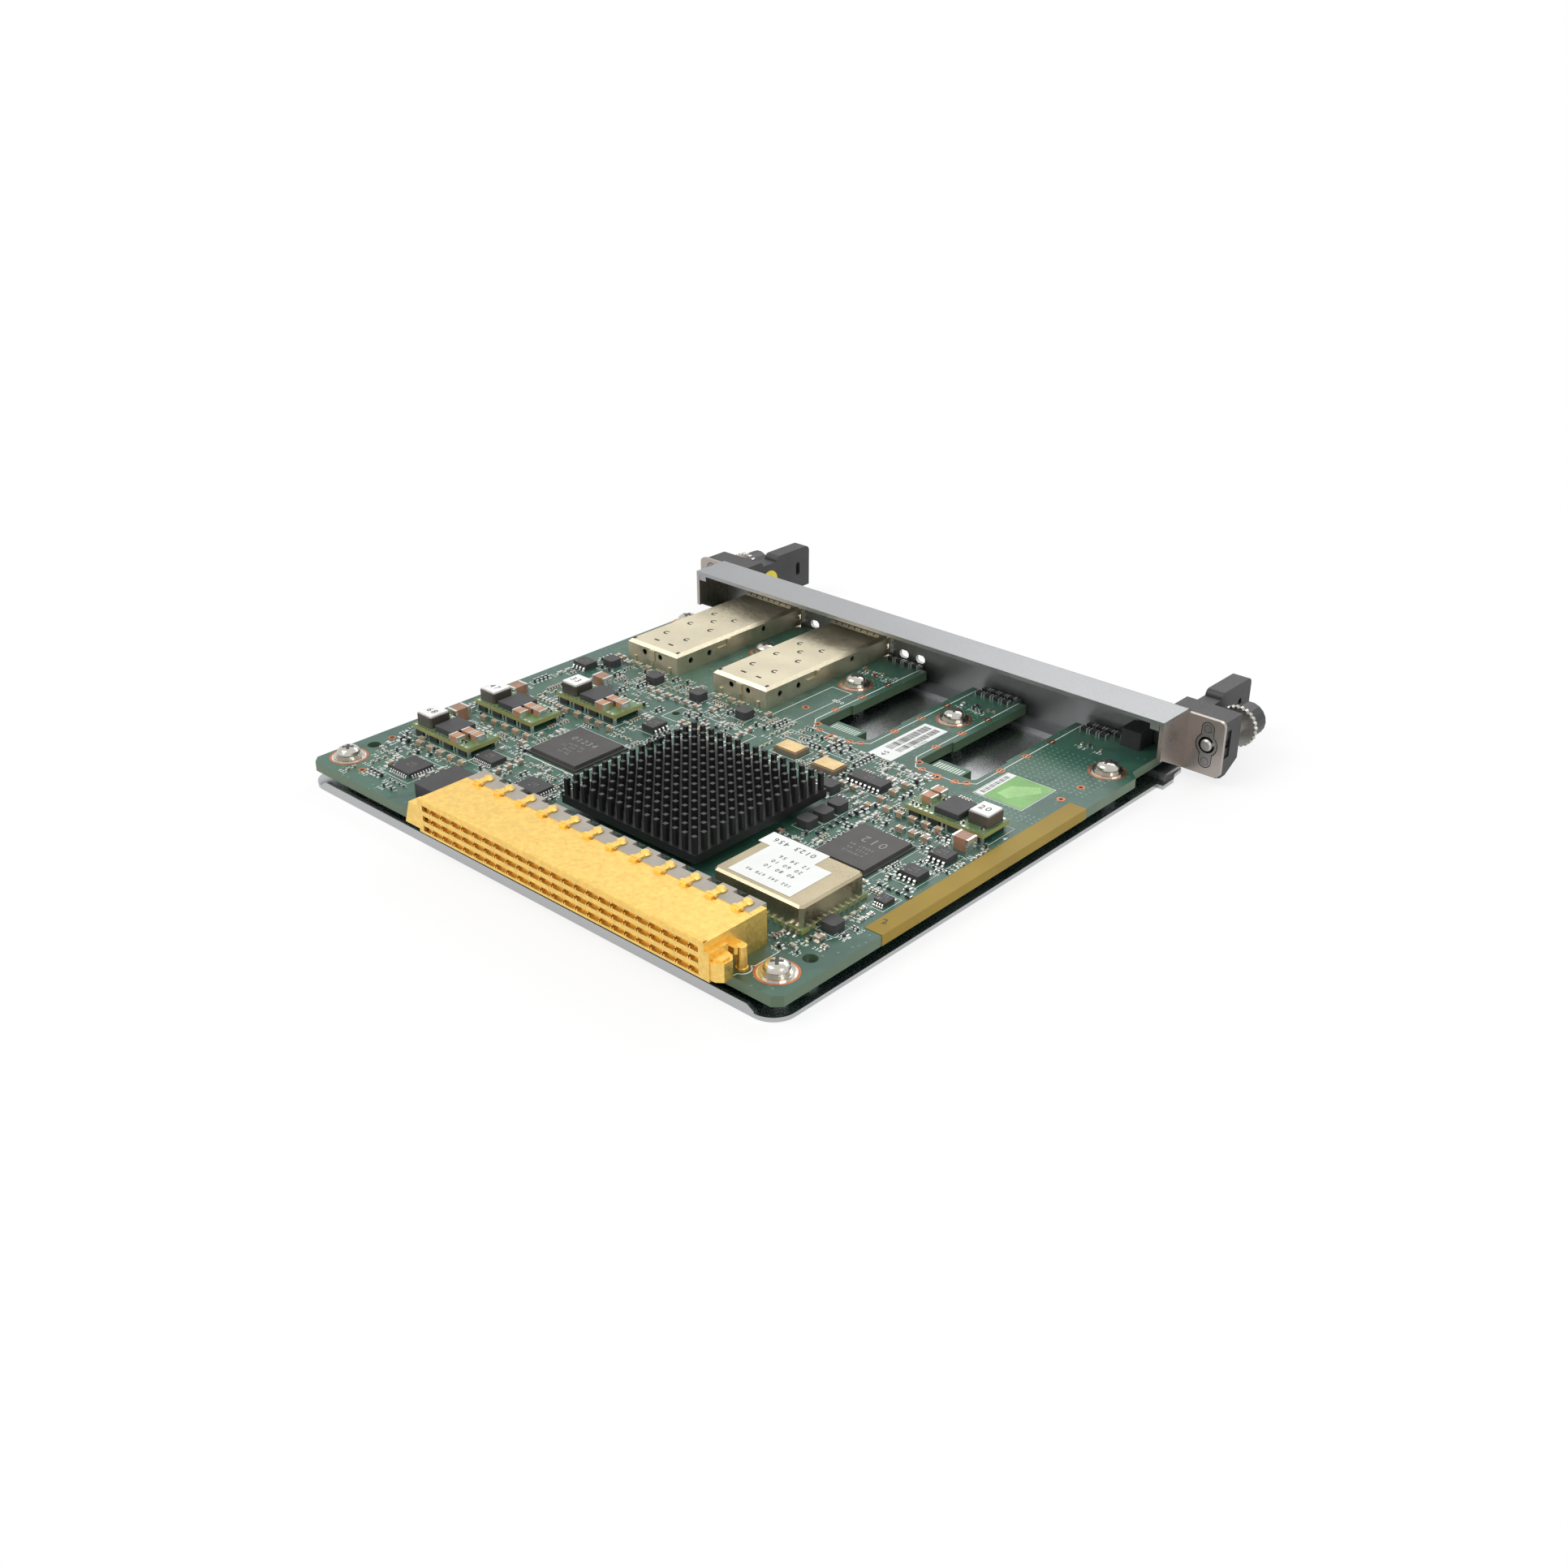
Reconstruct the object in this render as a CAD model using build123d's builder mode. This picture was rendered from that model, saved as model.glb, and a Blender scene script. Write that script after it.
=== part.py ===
from build123d import *
import os

os.makedirs("parts", exist_ok=True)

# Plug-in interface module: a circuit board in a sheet-metal tray, two recessed
# port cages behind a front plate, a rear plug connector and two captive screws.
# X runs across the front, -Y is the way the module slides in, +Z is up.
# The origin is the middle of the tray's underside, in the plane where the two
# ears seat against the host frame.

# Sheet metal, board and clearances
sheet = 1.0
tray_width = 150.0
tray_depth = 142.7
tray_corner = 5.5
tray_lip_height = 1.4
front_height = 17.4
flange_depth = 11.3
return_depth = 6.0
bend_radius = 1.5
bracket_slope = 5.4
ear_width = 9.65
ear_corner = 1.5
standoff_height = 2.4
standoff_radius = 2.6
board_thickness = 2.4
board_side_gap = 0.4
board_rear_gap = 1.1
board_front_gap = 0.5
board_corner = 1.8
neck_depth = 17.1
neck_step = 2.3
fit_gap = 0.1
hole_sides = 10
rim_sides = 18

# Ports
port_pitch = 31.7
first_port_x = -55.4
sleeve_width = 14.8
sleeve_height = 9.7
sleeve_depth = 41.5
sleeve_nose = 1.6
cage_wall = 0.4
cover_width = 18.4
cover_height = 5.5
cover_past_notch = 3.1
cover_bevel = 0.8
cover_front_gap = 1.2
cage_hole_radius = 0.8
notch_step = 0.6
notch_step_depth = 32.5
notch_depth = 45.5
notch_mouth_margin = 3.0
notch_mouth_depth = 2.8
tab_width = 9.0
tab_depth = 3.7
port_opening_margin = 1.6
plug_width = 12.0
plug_height = 4.8
plug_depth = 7.9
plug_drop = 3.2
gasket_height = 0.7
gasket_depth = 2.6
lamp_hole_width = 3.0
lamp_hole_height = 2.2
lamp_hole_spacing = 5.5
lamp_hole_offset = 14.3

# Captive screw, its handle and retainer
screw_inset = 4.25
screw_height = 9.6
tip_radius = 1.5
tip_reach = 0.6
shank_radius = 1.9
shank_clearance = 0.4
groove_radius = 1.2
groove_width = 0.8
ring_thickness = 0.6
ring_radius = 3.0
ring_clearance = 0.3
running_gap = 0.05
pocket_depth = 4.4
knob_flange_radius = 5.2
knob_flange_width = 1.2
knob_radius = 4.3
knob_length = 6.0
knob_gap = 3.8
knurl_count = 24
knurl_depth = 0.5
retainer_hole_radius = 2.1
cutout_radius = 2.9
cutout_slot_width = 3.4
rivet_spacing = 8.4
rivet_radius = 0.9
rivet_length = 6.0
housing_depth = 9.0
housing_width = 14.8
housing_low = 1.4
housing_high = 15.7
fin_thickness = 4.55
fin_inset = 0.85
fin_start = 16.5
fin_end = 31.0
fin_low = 3.2
fin_high = 15.4
web_high = 13.9
fin_hole_height = 3.9
fin_hole_width = 1.6
fin_hole_inset = 5.0

# Board hardware and large components
board_screw_radius = 1.45
board_head_radius = 2.75
board_head_height = 1.9
washer_radius = 3.65
washer_thickness = 0.5
sink_width = 41.5
sink_base = 2.0
pin_side = 1.0
pin_height = 4.0
pin_count = 15
pin_pitch = 2.83
processor_side = 31.0
processor_height = 2.2
logic_side = 17.0
memory_width = 14.8
memory_depth = 17.0
chip_height = 1.3
can_width = 24.3
can_depth = 19.2
can_height = 4.9
can_base_thickness = 1.0
can_base_margin = 0.4
plug_body_width = 86.8
plug_body_height = 8.0
plug_body_depth = 13.7
plug_overhang = 4.4
plug_strip_depth = 5.0
plug_shell_wall = 1.5
plug_slot_depth = 2.0
plug_slot_count = 3
plug_slot_height = 1.3
plug_slot_pitch = 2.45
blade_pitch = 2.0
blade_thickness = 0.6
hook_count = 12
hook_width = 1.8
module_width = 21.5
module_depth = 9.5
module_board = 1.05
module_header = 1.4

# Heights and edges that follow
board_bottom = sheet + standoff_height
board_top = board_bottom + board_thickness
tray_half = tray_width / 2
board_half = tray_half - board_side_gap
board_rear = board_rear_gap - tray_depth
wall_outer = tray_half + sheet - 0.15
ear_outer = wall_outer + ear_width
screw_x = ear_outer - screw_inset
port_xs = [first_port_x + index * port_pitch for index in range(4)]
cage_xs = port_xs[:2]
notch_width = sleeve_width + 2 * fit_gap
sleeve_low = board_top + cover_height - sleeve_height
cover_depth = notch_depth + cover_past_notch
opening_width = sleeve_width + 2 * port_opening_margin
opening_high = board_top + cover_height + 0.3
side_names = ((-1, "left"), (1, "right"))


def from_left(distance):
    return distance - board_half


def from_right(distance):
    return board_half - distance


def from_rear(distance):
    return board_rear + distance


def cross_plane(y):
    return Plane.XZ.offset(-y)


def not_on_tab(x):
    return all(abs(x - port) > tab_width / 2 + fit_gap for port in port_xs)


def part_plane(x, y, height=0.0, quarter_turn=False):
    direction = (0, 1, 0) if quarter_turn else (1, 0, 0)
    return Plane((x, y, board_top + height), x_dir=direction, z_dir=(0, 0, 1))


# Screws that hold the board: two at the rear, five along the port row
board_screw_spots = [
    (from_left(5.3), from_rear(7.0)),
    (from_right(6.4), from_rear(6.8)),
    (from_left(4.3), -20.7),
    (from_right(6.9), -20.7),
]
for left_port, right_port in zip(port_xs, port_xs[1:]):
    board_screw_spots.append(((left_port + right_port) / 2, -21.7))

# Tray: flat floor with round rear corners, rear lip and one side catch each way
with BuildPart() as tray:
    with BuildSketch() as tray_floor:
        with Locations((0, sheet)):
            Rectangle(tray_width, tray_depth + sheet, align=(Align.CENTER, Align.MAX))
        fillet(tray_floor.vertices().group_by(Axis.Y)[0], tray_corner)
        for side, _ in side_names:
            with BuildLine():
                Polyline(
                    (side * (tray_half - 0.5), -10.0),
                    (side * (tray_half + 1.65), -10.0),
                    (side * (tray_half + 1.5), -5.0),
                    (side * (tray_half + 0.35), -2.7),
                    (side * tray_half, 0.4),
                    (side * (tray_half - 0.5), 0.4),
                    close=True,
                )
            make_face()
    extrude(amount=sheet)
    with BuildSketch(Plane.XZ.offset(tray_depth)):
        with BuildLine():
            Polyline(
                (tray_corner - tray_half, 0),
                (tray_corner - tray_half, sheet + 0.4),
                (tray_corner - tray_half + 1.9, sheet + tray_lip_height),
                (tray_half - tray_corner - 1.9, sheet + tray_lip_height),
                (tray_half - tray_corner, sheet + 0.4),
                (tray_half - tray_corner, 0),
                close=True,
            )
        make_face()
    extrude(amount=-sheet)
tray.part.label = "carrier_tray"
export_step(tray.part, "parts/carrier_tray.step")

# Circuit board with a notch for each of the four port positions
with BuildPart() as board:
    with BuildSketch(Plane.XY.offset(board_bottom)) as board_outline:
        with BuildLine():
            Polyline(
                (-board_half + board_corner, board_rear),
                (board_half - board_corner, board_rear),
                (board_half, board_rear + board_corner),
                (board_half, -neck_depth - neck_step),
                (board_half - neck_step, -neck_depth),
                (board_half - neck_step, -board_front_gap),
                (-board_half + neck_step, -board_front_gap),
                (-board_half + neck_step, -neck_depth),
                (-board_half, -neck_depth - neck_step),
                (-board_half, board_rear + board_corner),
                close=True,
            )
        make_face()
        with Locations(*[(x, 0) for x in port_xs]):
            Rectangle(
                notch_width + 2 * notch_mouth_margin,
                notch_mouth_depth,
                align=(Align.CENTER, Align.MAX),
                mode=Mode.SUBTRACT,
            )
            Rectangle(
                notch_width,
                notch_step_depth + 2,
                align=(Align.CENTER, Align.MAX),
                mode=Mode.SUBTRACT,
            )
        with Locations(*[(x, -notch_depth) for x in port_xs]):
            Rectangle(
                notch_width + 2 * notch_step,
                notch_depth - notch_step_depth,
                align=(Align.CENTER, Align.MIN),
                mode=Mode.SUBTRACT,
            )
            Rectangle(tab_width, tab_depth, align=(Align.CENTER, Align.MIN))
        notch_ends = board_outline.vertices().filter_by_position(
            Axis.Y, -notch_depth - 0.01, -notch_depth + 0.01
        )
        chamfer(notch_ends.filter_by(lambda corner: not_on_tab(corner.X)), 0.8)
        with Locations(*board_screw_spots):
            RegularPolygon(board_screw_radius + 0.2, hole_sides, mode=Mode.SUBTRACT)
        with Locations(
            (from_right(4.9), from_rear(14.6)),
            (from_left(4.4), from_rear(14.8)),
        ):
            RegularPolygon(1.6, rim_sides, mode=Mode.SUBTRACT)
        with Locations((-29.5, from_rear(76.1))):
            RegularPolygon(1.0, rim_sides, mode=Mode.SUBTRACT)
    extrude(amount=board_thickness)
board.part.label = "main_board"
export_step(board.part, "parts/main_board.step")

# Posts pressed into the tray, washers and pan-head screws, one set per hole
with BuildPart() as standoffs:
    with BuildSketch(Plane.XY.offset(sheet)):
        with Locations(*board_screw_spots):
            RegularPolygon(standoff_radius, 6)
            RegularPolygon(board_screw_radius + fit_gap, hole_sides, mode=Mode.SUBTRACT)
    extrude(amount=standoff_height)
standoffs.part.label = "board_standoffs"
export_step(standoffs.part, "parts/board_standoffs.step")

with BuildPart() as washers:
    with BuildSketch(Plane.XY.offset(board_top)):
        with Locations(*board_screw_spots):
            RegularPolygon(washer_radius, rim_sides)
            RegularPolygon(board_screw_radius + fit_gap, hole_sides, mode=Mode.SUBTRACT)
    extrude(amount=washer_thickness)
washers.part.label = "board_washers"
export_step(washers.part, "parts/board_washers.step")

head_low = board_top + washer_thickness
with BuildPart() as board_screws:
    with BuildSketch(Plane.XY.offset(sheet + 0.2)):
        with Locations(*board_screw_spots):
            RegularPolygon(board_screw_radius, hole_sides)
    extrude(amount=head_low - sheet - 0.2)
    with BuildSketch(Plane.XY.offset(head_low)):
        with Locations(*board_screw_spots):
            RegularPolygon(board_head_radius, rim_sides)
    extrude(amount=board_head_height, taper=14)
board_screws.part.label = "board_screws"
export_step(board_screws.part, "parts/board_screws.step")

# Front plate: a channel section with a deep top flange and a short bottom return
plate_outer = wall_outer + sheet
with BuildPart() as faceplate:
    with BuildSketch(Plane.YZ.offset(-wall_outer)) as channel:
        with BuildLine():
            Polyline(
                (-flange_depth, front_height),
                (sheet, front_height),
                (sheet, sheet),
                (-return_depth, sheet),
                (-return_depth, 2 * sheet),
                (0, 2 * sheet),
                (0, front_height - sheet),
                (-flange_depth, front_height - sheet),
                close=True,
            )
        make_face()
        top_bend = channel.vertices().group_by(Axis.Y)[-1].sort_by(Axis.X)[-1]
        fillet(top_bend, bend_radius)
    extrude(amount=2 * wall_outer)
    # the wall ends at the side brackets, the flange runs on over them
    with BuildSketch(Plane.XY.offset(front_height - sheet)):
        for side, _ in side_names:
            with Locations((side * (tray_half - 0.15), sheet)):
                Rectangle(
                    2 * sheet,
                    flange_depth + 3,
                    align=(Align.MIN if side > 0 else Align.MAX, Align.MAX),
                )
    extrude(amount=-front_height, mode=Mode.SUBTRACT)
    with BuildSketch(cross_plane(sheet)):
        with Locations(*[(x, 0) for x in cage_xs]):
            Rectangle(opening_width, opening_high, align=(Align.CENTER, Align.MIN))
    extrude(amount=return_depth + 2 * sheet, mode=Mode.SUBTRACT)
    with BuildSketch(cross_plane(sheet)) as lamp_holes:
        for x in cage_xs:
            for step in range(2):
                with Locations((x + lamp_hole_offset + step * lamp_hole_spacing, 7.2)):
                    Rectangle(lamp_hole_width, lamp_hole_height)
        chamfer(lamp_holes.vertices(), lamp_hole_height * 0.3)
    extrude(amount=2 * sheet, mode=Mode.SUBTRACT)
    # small stiffening corners bent down from the flange's rear edge
    with BuildSketch(cross_plane(-flange_depth)):
        for side, _ in side_names:
            with Locations((side * (tray_half - 1.5), front_height - sheet)):
                Rectangle(2.4, 1.4, align=(Align.CENTER, Align.MAX))
    extrude(amount=-0.5)
faceplate.part.label = "faceplate"
export_step(faceplate.part, "parts/faceplate.step")

# Side brackets: a sloped cheek along the tray and an ear with a dog-bone cut-out
wall_inner = wall_outer - sheet
flange_under = front_height - sheet
slot_length = rivet_spacing + cutout_slot_width
for side, name in side_names:
    with BuildPart() as bracket:
        with BuildSketch(Plane.YZ.offset(side * wall_inner)):
            with BuildLine():
                Polyline(
                    (sheet, 2 * sheet),
                    (sheet, flange_under),
                    (-flange_depth, flange_under),
                    (-flange_depth, 2 * sheet + bracket_slope),
                    (-flange_depth + 0.9, 2 * sheet + bracket_slope),
                    (0, 2 * sheet),
                    close=True,
                )
            make_face()
        extrude(amount=side * sheet)
        with BuildSketch(cross_plane(0)) as ear:
            ear_middle = side * (wall_outer + ear_width / 2)
            with Locations((ear_middle, (flange_under + 2 * sheet) / 2)):
                Rectangle(ear_width, flange_under - 2 * sheet)
            outer_corners = ear.vertices().group_by(Axis.X)[-1 if side > 0 else 0]
            fillet(outer_corners, ear_corner)
            with Locations((side * screw_x, screw_height)):
                Circle(cutout_radius, mode=Mode.SUBTRACT)
                SlotOverall(
                    slot_length, cutout_slot_width, rotation=90, mode=Mode.SUBTRACT
                )
        extrude(amount=-sheet)
        fold = bracket.edges().filter_by(Axis.Z).filter_by_position(
            Axis.Y, sheet - 0.01, sheet + 0.01
        )
        fillet(fold.sort_by(Axis.X)[0 if side > 0 else -1], 0.9)
    bracket.part.label = f"side_bracket_{name}"
    export_step(bracket.part, f"parts/side_bracket_{name}.step")

    with BuildPart() as retainer:
        with BuildSketch(cross_plane(0)):
            with Locations((side * screw_x, screw_height)):
                Circle(cutout_radius - 2 * fit_gap)
                SlotOverall(
                    slot_length - 4 * fit_gap, cutout_slot_width - 3 * fit_gap, rotation=90
                )
                RegularPolygon(retainer_hole_radius, rim_sides, mode=Mode.SUBTRACT)
                with GridLocations(1, rivet_spacing, 1, 2):
                    RegularPolygon(rivet_radius + fit_gap, hole_sides, mode=Mode.SUBTRACT)
        extrude(amount=-sheet)
    retainer.part.label = f"retainer_plate_{name}"
    export_step(retainer.part, f"parts/retainer_plate_{name}.step")

    # Moulded handle: screw housing against the ear, web and upright pull fin
    housing_end = sheet + housing_depth
    housing_outer = ear_outer - 0.7
    housing_inner = housing_outer - housing_width
    fin_inner = housing_inner + fin_inset
    with BuildPart() as handle:
        with BuildSketch(Plane.YZ.offset(side * housing_inner)) as housing_side:
            with BuildLine():
                Polyline(
                    (sheet, housing_low),
                    (sheet + 3.0, housing_low),
                    (housing_end, housing_low + 3.3),
                    (housing_end, housing_high),
                    (sheet, housing_high),
                    close=True,
                )
            make_face()
            chamfer(housing_side.vertices().sort_by(Axis.X)[-2:], 0.8)
        extrude(amount=side * housing_width)
        long_edges = handle.edges().filter_by(Axis.Z)
        chamfer(long_edges.sort_by(Axis.X)[-2:] if side > 0 else long_edges.sort_by(Axis.X)[:2], 0.8)
        with BuildSketch(Plane.YZ.offset(side * fin_inner)) as fin_side:
            with Locations(((fin_start + fin_end) / 2, (fin_low + fin_high) / 2)):
                Rectangle(fin_end - fin_start, fin_high - fin_low)
            fillet(fin_side.vertices().group_by(Axis.Y)[-1], 1.6)
            with BuildLine():
                Polyline(
                    (housing_end - 1, housing_low + 2.8),
                    (fin_start + 1, fin_low),
                    (fin_start + 1, web_high),
                    (housing_end - 1, web_high),
                    close=True,
                )
            make_face()
        extrude(amount=side * fin_thickness)
        with BuildSketch(Plane.YZ.offset(side * (fin_inner - 1))):
            with Locations((fin_end - fin_hole_inset, (fin_low + fin_high) / 2)):
                SlotOverall(fin_hole_height, fin_hole_width, rotation=90)
        extrude(amount=side * (fin_thickness + 2), mode=Mode.SUBTRACT)
        # pocket for the retaining ring, then the bore for the shank
        with BuildSketch(cross_plane(sheet)):
            with Locations((side * screw_x, screw_height)):
                RegularPolygon(ring_radius + ring_clearance, rim_sides)
        extrude(amount=-pocket_depth, mode=Mode.SUBTRACT)
        with BuildSketch(cross_plane(sheet)):
            with Locations((side * screw_x, screw_height)):
                RegularPolygon(shank_radius + shank_clearance, rim_sides)
        extrude(amount=-housing_depth - 1, mode=Mode.SUBTRACT)
        with BuildSketch(cross_plane(sheet)):
            with Locations((side * screw_x, screw_height)):
                with GridLocations(1, rivet_spacing, 1, 2):
                    RegularPolygon(rivet_radius + fit_gap, hole_sides)
        extrude(amount=-rivet_length + sheet - 0.2, mode=Mode.SUBTRACT)
        # shallow grip recess on the outer face
        with BuildSketch(Plane.YZ.offset(side * housing_outer)):
            with Locations((sheet + 2.4, screw_height)):
                Rectangle(2.9, 7.0)
        extrude(amount=-side * 0.5, mode=Mode.SUBTRACT)
    handle.part.label = f"handle_{name}"
    export_step(handle.part, f"parts/handle_{name}.step")

    # Ring that sits in the screw's groove and keeps the screw in the housing
    groove_start = sheet + pocket_depth - 1.0
    ring_start = groove_start + (groove_width - ring_thickness) / 2
    with BuildPart() as ring:
        with BuildSketch(cross_plane(ring_start)):
            with Locations((side * screw_x, screw_height)):
                RegularPolygon(ring_radius, rim_sides)
                Circle(groove_radius + running_gap, mode=Mode.SUBTRACT)
        extrude(amount=-ring_thickness)
    ring.part.label = f"retaining_ring_{name}"
    export_step(ring.part, f"parts/retaining_ring_{name}.step")

    # Captive thumbscrew: threaded tip, groove, shank, knurled flange and knob
    knob_start = housing_end + knob_gap
    with BuildPart() as thumbscrew:
        with BuildSketch(Plane.XY.offset(screw_height)):
            with BuildLine():
                screw_profile = [
                    (0, -tip_reach),
                    (tip_radius - 0.4, -tip_reach),
                    (tip_radius, -tip_reach + 0.4),
                    (tip_radius, groove_start),
                    (groove_radius, groove_start),
                    (groove_radius, groove_start + groove_width),
                    (shank_radius, groove_start + groove_width),
                    (shank_radius, knob_start),
                    (0, knob_start),
                ]
                Polyline([(side * screw_x + r, y) for r, y in screw_profile], close=True)
            make_face()
        revolve(axis=Axis((side * screw_x, 0, screw_height), (0, 1, 0)))
        with BuildSketch(cross_plane(knob_start)):
            with Locations((side * screw_x, screw_height)):
                RegularPolygon(knob_flange_radius, knurl_count)
                with PolarLocations(knob_flange_radius, knurl_count):
                    RegularPolygon(knurl_depth, 4, mode=Mode.SUBTRACT)
        extrude(amount=-knob_flange_width)
        with BuildSketch(cross_plane(knob_start + knob_flange_width)):
            with Locations((side * screw_x, screw_height)):
                RegularPolygon(knob_radius, rim_sides)
        extrude(amount=-knob_length)
        chamfer(thumbscrew.faces().sort_by(Axis.Y)[-1].edges(), 0.5)
    thumbscrew.part.label = f"thumbscrew_{name}"
    export_step(thumbscrew.part, f"parts/thumbscrew_{name}.step")

# Rivets that hold ear, retainer and handle together
with BuildPart() as rivets:
    with BuildSketch(cross_plane(0)):
        with Locations((-screw_x, screw_height), (screw_x, screw_height)):
            with GridLocations(1, rivet_spacing, 1, 2):
                RegularPolygon(rivet_radius, hole_sides)
    extrude(amount=-rivet_length)
rivets.part.label = "handle_rivets"
export_step(rivets.part, "parts/handle_rivets.step")

# Port cages: a bevelled cover on the board around a sleeve through its notch
cover_half = cover_width / 2
cover_high = board_top + cover_height
sleeve_half = sleeve_width / 2
for x, (_, name) in zip(cage_xs, side_names):
    with BuildPart() as cage:
        with BuildSketch(cross_plane(-cover_depth)):
            with BuildLine():
                Polyline(
                    (x - cover_half, board_top),
                    (x - cover_half, cover_high - cover_bevel),
                    (x - cover_half + cover_bevel, cover_high),
                    (x + cover_half - cover_bevel, cover_high),
                    (x + cover_half, cover_high - cover_bevel),
                    (x + cover_half, board_top),
                    close=True,
                )
            make_face()
        extrude(amount=cover_front_gap - cover_depth)
        rear_rim = cage.faces().sort_by(Axis.Y)[0].edges().sort_by(Axis.Z)[-1]
        chamfer(rear_rim, cover_bevel)
        below = cage.faces().sort_by(Axis.Z)[0]
        front = cage.faces().sort_by(Axis.Y)[-1]
        offset(amount=-cage_wall, openings=[below, front])
        # sleeve that guides the plugged module, with its nose in the front plate
        sleeve_middle = sleeve_low + sleeve_height / 2
        with BuildSketch(cross_plane(-sleeve_depth)):
            with Locations((x, sleeve_middle)):
                Rectangle(sleeve_width, sleeve_height)
                Rectangle(
                    sleeve_width - 2 * cage_wall,
                    sleeve_height - 2 * cage_wall,
                    mode=Mode.SUBTRACT,
                )
        extrude(amount=-sleeve_depth - sleeve_nose)
        # round holes in both cheeks, two in the rear wall and two slots in the lid
        with BuildSketch(Plane.YZ.offset(x - cover_half)):
            with Locations((-43.5, board_top + 2.7), (-36.5, board_top + 2.7), (-15.4, board_top + 3.3)):
                RegularPolygon(cage_hole_radius, hole_sides)
        extrude(amount=2 * cage_wall, mode=Mode.SUBTRACT)
        with BuildSketch(Plane.YZ.offset(x + cover_half)):
            with Locations((-43.5, board_top + 2.7), (-36.5, board_top + 2.7), (-15.4, board_top + 3.3)):
                RegularPolygon(cage_hole_radius, hole_sides)
        extrude(amount=-2 * cage_wall, mode=Mode.SUBTRACT)
        with BuildSketch(cross_plane(-cover_depth)):
            with Locations((x - 2.9, board_top + 3.3), (x + 2.9, board_top + 3.3)):
                RegularPolygon(cage_hole_radius, hole_sides)
        extrude(amount=-2 * cage_wall, mode=Mode.SUBTRACT)
        with BuildSketch(Plane.XY.offset(cover_high)):
            with Locations((x - 2.6, -cover_depth + 4.3), (x + 2.6, -cover_depth + 4.3)):
                Rectangle(1.8, 0.7)
        extrude(amount=-2 * cage_wall, mode=Mode.SUBTRACT)
        # bowed spring fingers that touch the sides of the plate's opening
        finger_reach = port_opening_margin - fit_gap
        finger_start = fit_gap - notch_mouth_depth
        for side, _ in side_names:
            for level in (0.18, 0.5, 0.82):
                with BuildSketch(Plane.XY.offset(sleeve_low + level * sleeve_height - 0.9)):
                    with BuildLine():
                        Polyline(
                            (x + side * sleeve_half, finger_start),
                            (x + side * (sleeve_half + finger_reach), -0.9),
                            (x + side * (sleeve_half + finger_reach), 0.3),
                            (x + side * sleeve_half, sleeve_nose),
                            (x + side * sleeve_half, sleeve_nose - 0.4),
                            (x + side * (sleeve_half + finger_reach - 0.25), 0.1),
                            (x + side * (sleeve_half + finger_reach - 0.25), -0.8),
                            (x + side * sleeve_half, finger_start + 0.4),
                            close=True,
                        )
                    make_face()
                extrude(amount=1.8)
    cage.part.label = f"port_cage_{name}"
    export_step(cage.part, f"parts/port_cage_{name}.step")

    # Connector inside the cage: stands on the board's tab and drops in front of it
    plug_rear = -notch_depth - 0.9
    with BuildPart() as port_plug:
        with BuildSketch(Plane.YZ.offset(x - plug_width / 2)):
            with BuildLine():
                Polyline(
                    (plug_rear, board_top),
                    (plug_rear, board_top + plug_height),
                    (plug_rear + plug_depth, board_top + plug_height),
                    (plug_rear + plug_depth, board_top - plug_drop),
                    (-notch_depth + tab_depth + 0.3, board_top - plug_drop),
                    (-notch_depth + tab_depth + 0.3, board_top),
                    close=True,
                )
            make_face()
        extrude(amount=plug_width)
        with BuildSketch(cross_plane(plug_rear + plug_depth)):
            with Locations((x, board_top - plug_drop / 2 + plug_height / 2)):
                Rectangle(plug_width - 2.4, 1.6)
        extrude(amount=2.2, mode=Mode.SUBTRACT)
    port_plug.part.label = f"port_connector_{name}"
    export_step(port_plug.part, f"parts/port_connector_{name}.step")

    # Springy gasket strip across the cage's front, with slits between fingers
    with BuildPart() as gasket:
        gasket_rear = -cover_front_gap - 0.2 - gasket_depth
        with BuildSketch(Plane.YZ.offset(x - (cover_half - 0.8))):
            with BuildLine():
                Polyline(
                    (gasket_rear, cover_high),
                    (gasket_rear + 0.6, cover_high + gasket_height),
                    (gasket_rear + gasket_depth - 0.6, cover_high + gasket_height),
                    (gasket_rear + gasket_depth, cover_high),
                    close=True,
                )
            make_face()
        extrude(amount=2 * (cover_half - 0.8))
        with BuildSketch(Plane.XY.offset(cover_high + 0.2)):
            with Locations((x, gasket_rear + gasket_depth / 2)):
                with GridLocations(2.2, 1, 7, 1):
                    Rectangle(0.35, gasket_depth)
        extrude(amount=gasket_height, mode=Mode.SUBTRACT)
    gasket.part.label = f"cage_gasket_{name}"
    export_step(gasket.part, f"parts/cage_gasket_{name}.step")

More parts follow.
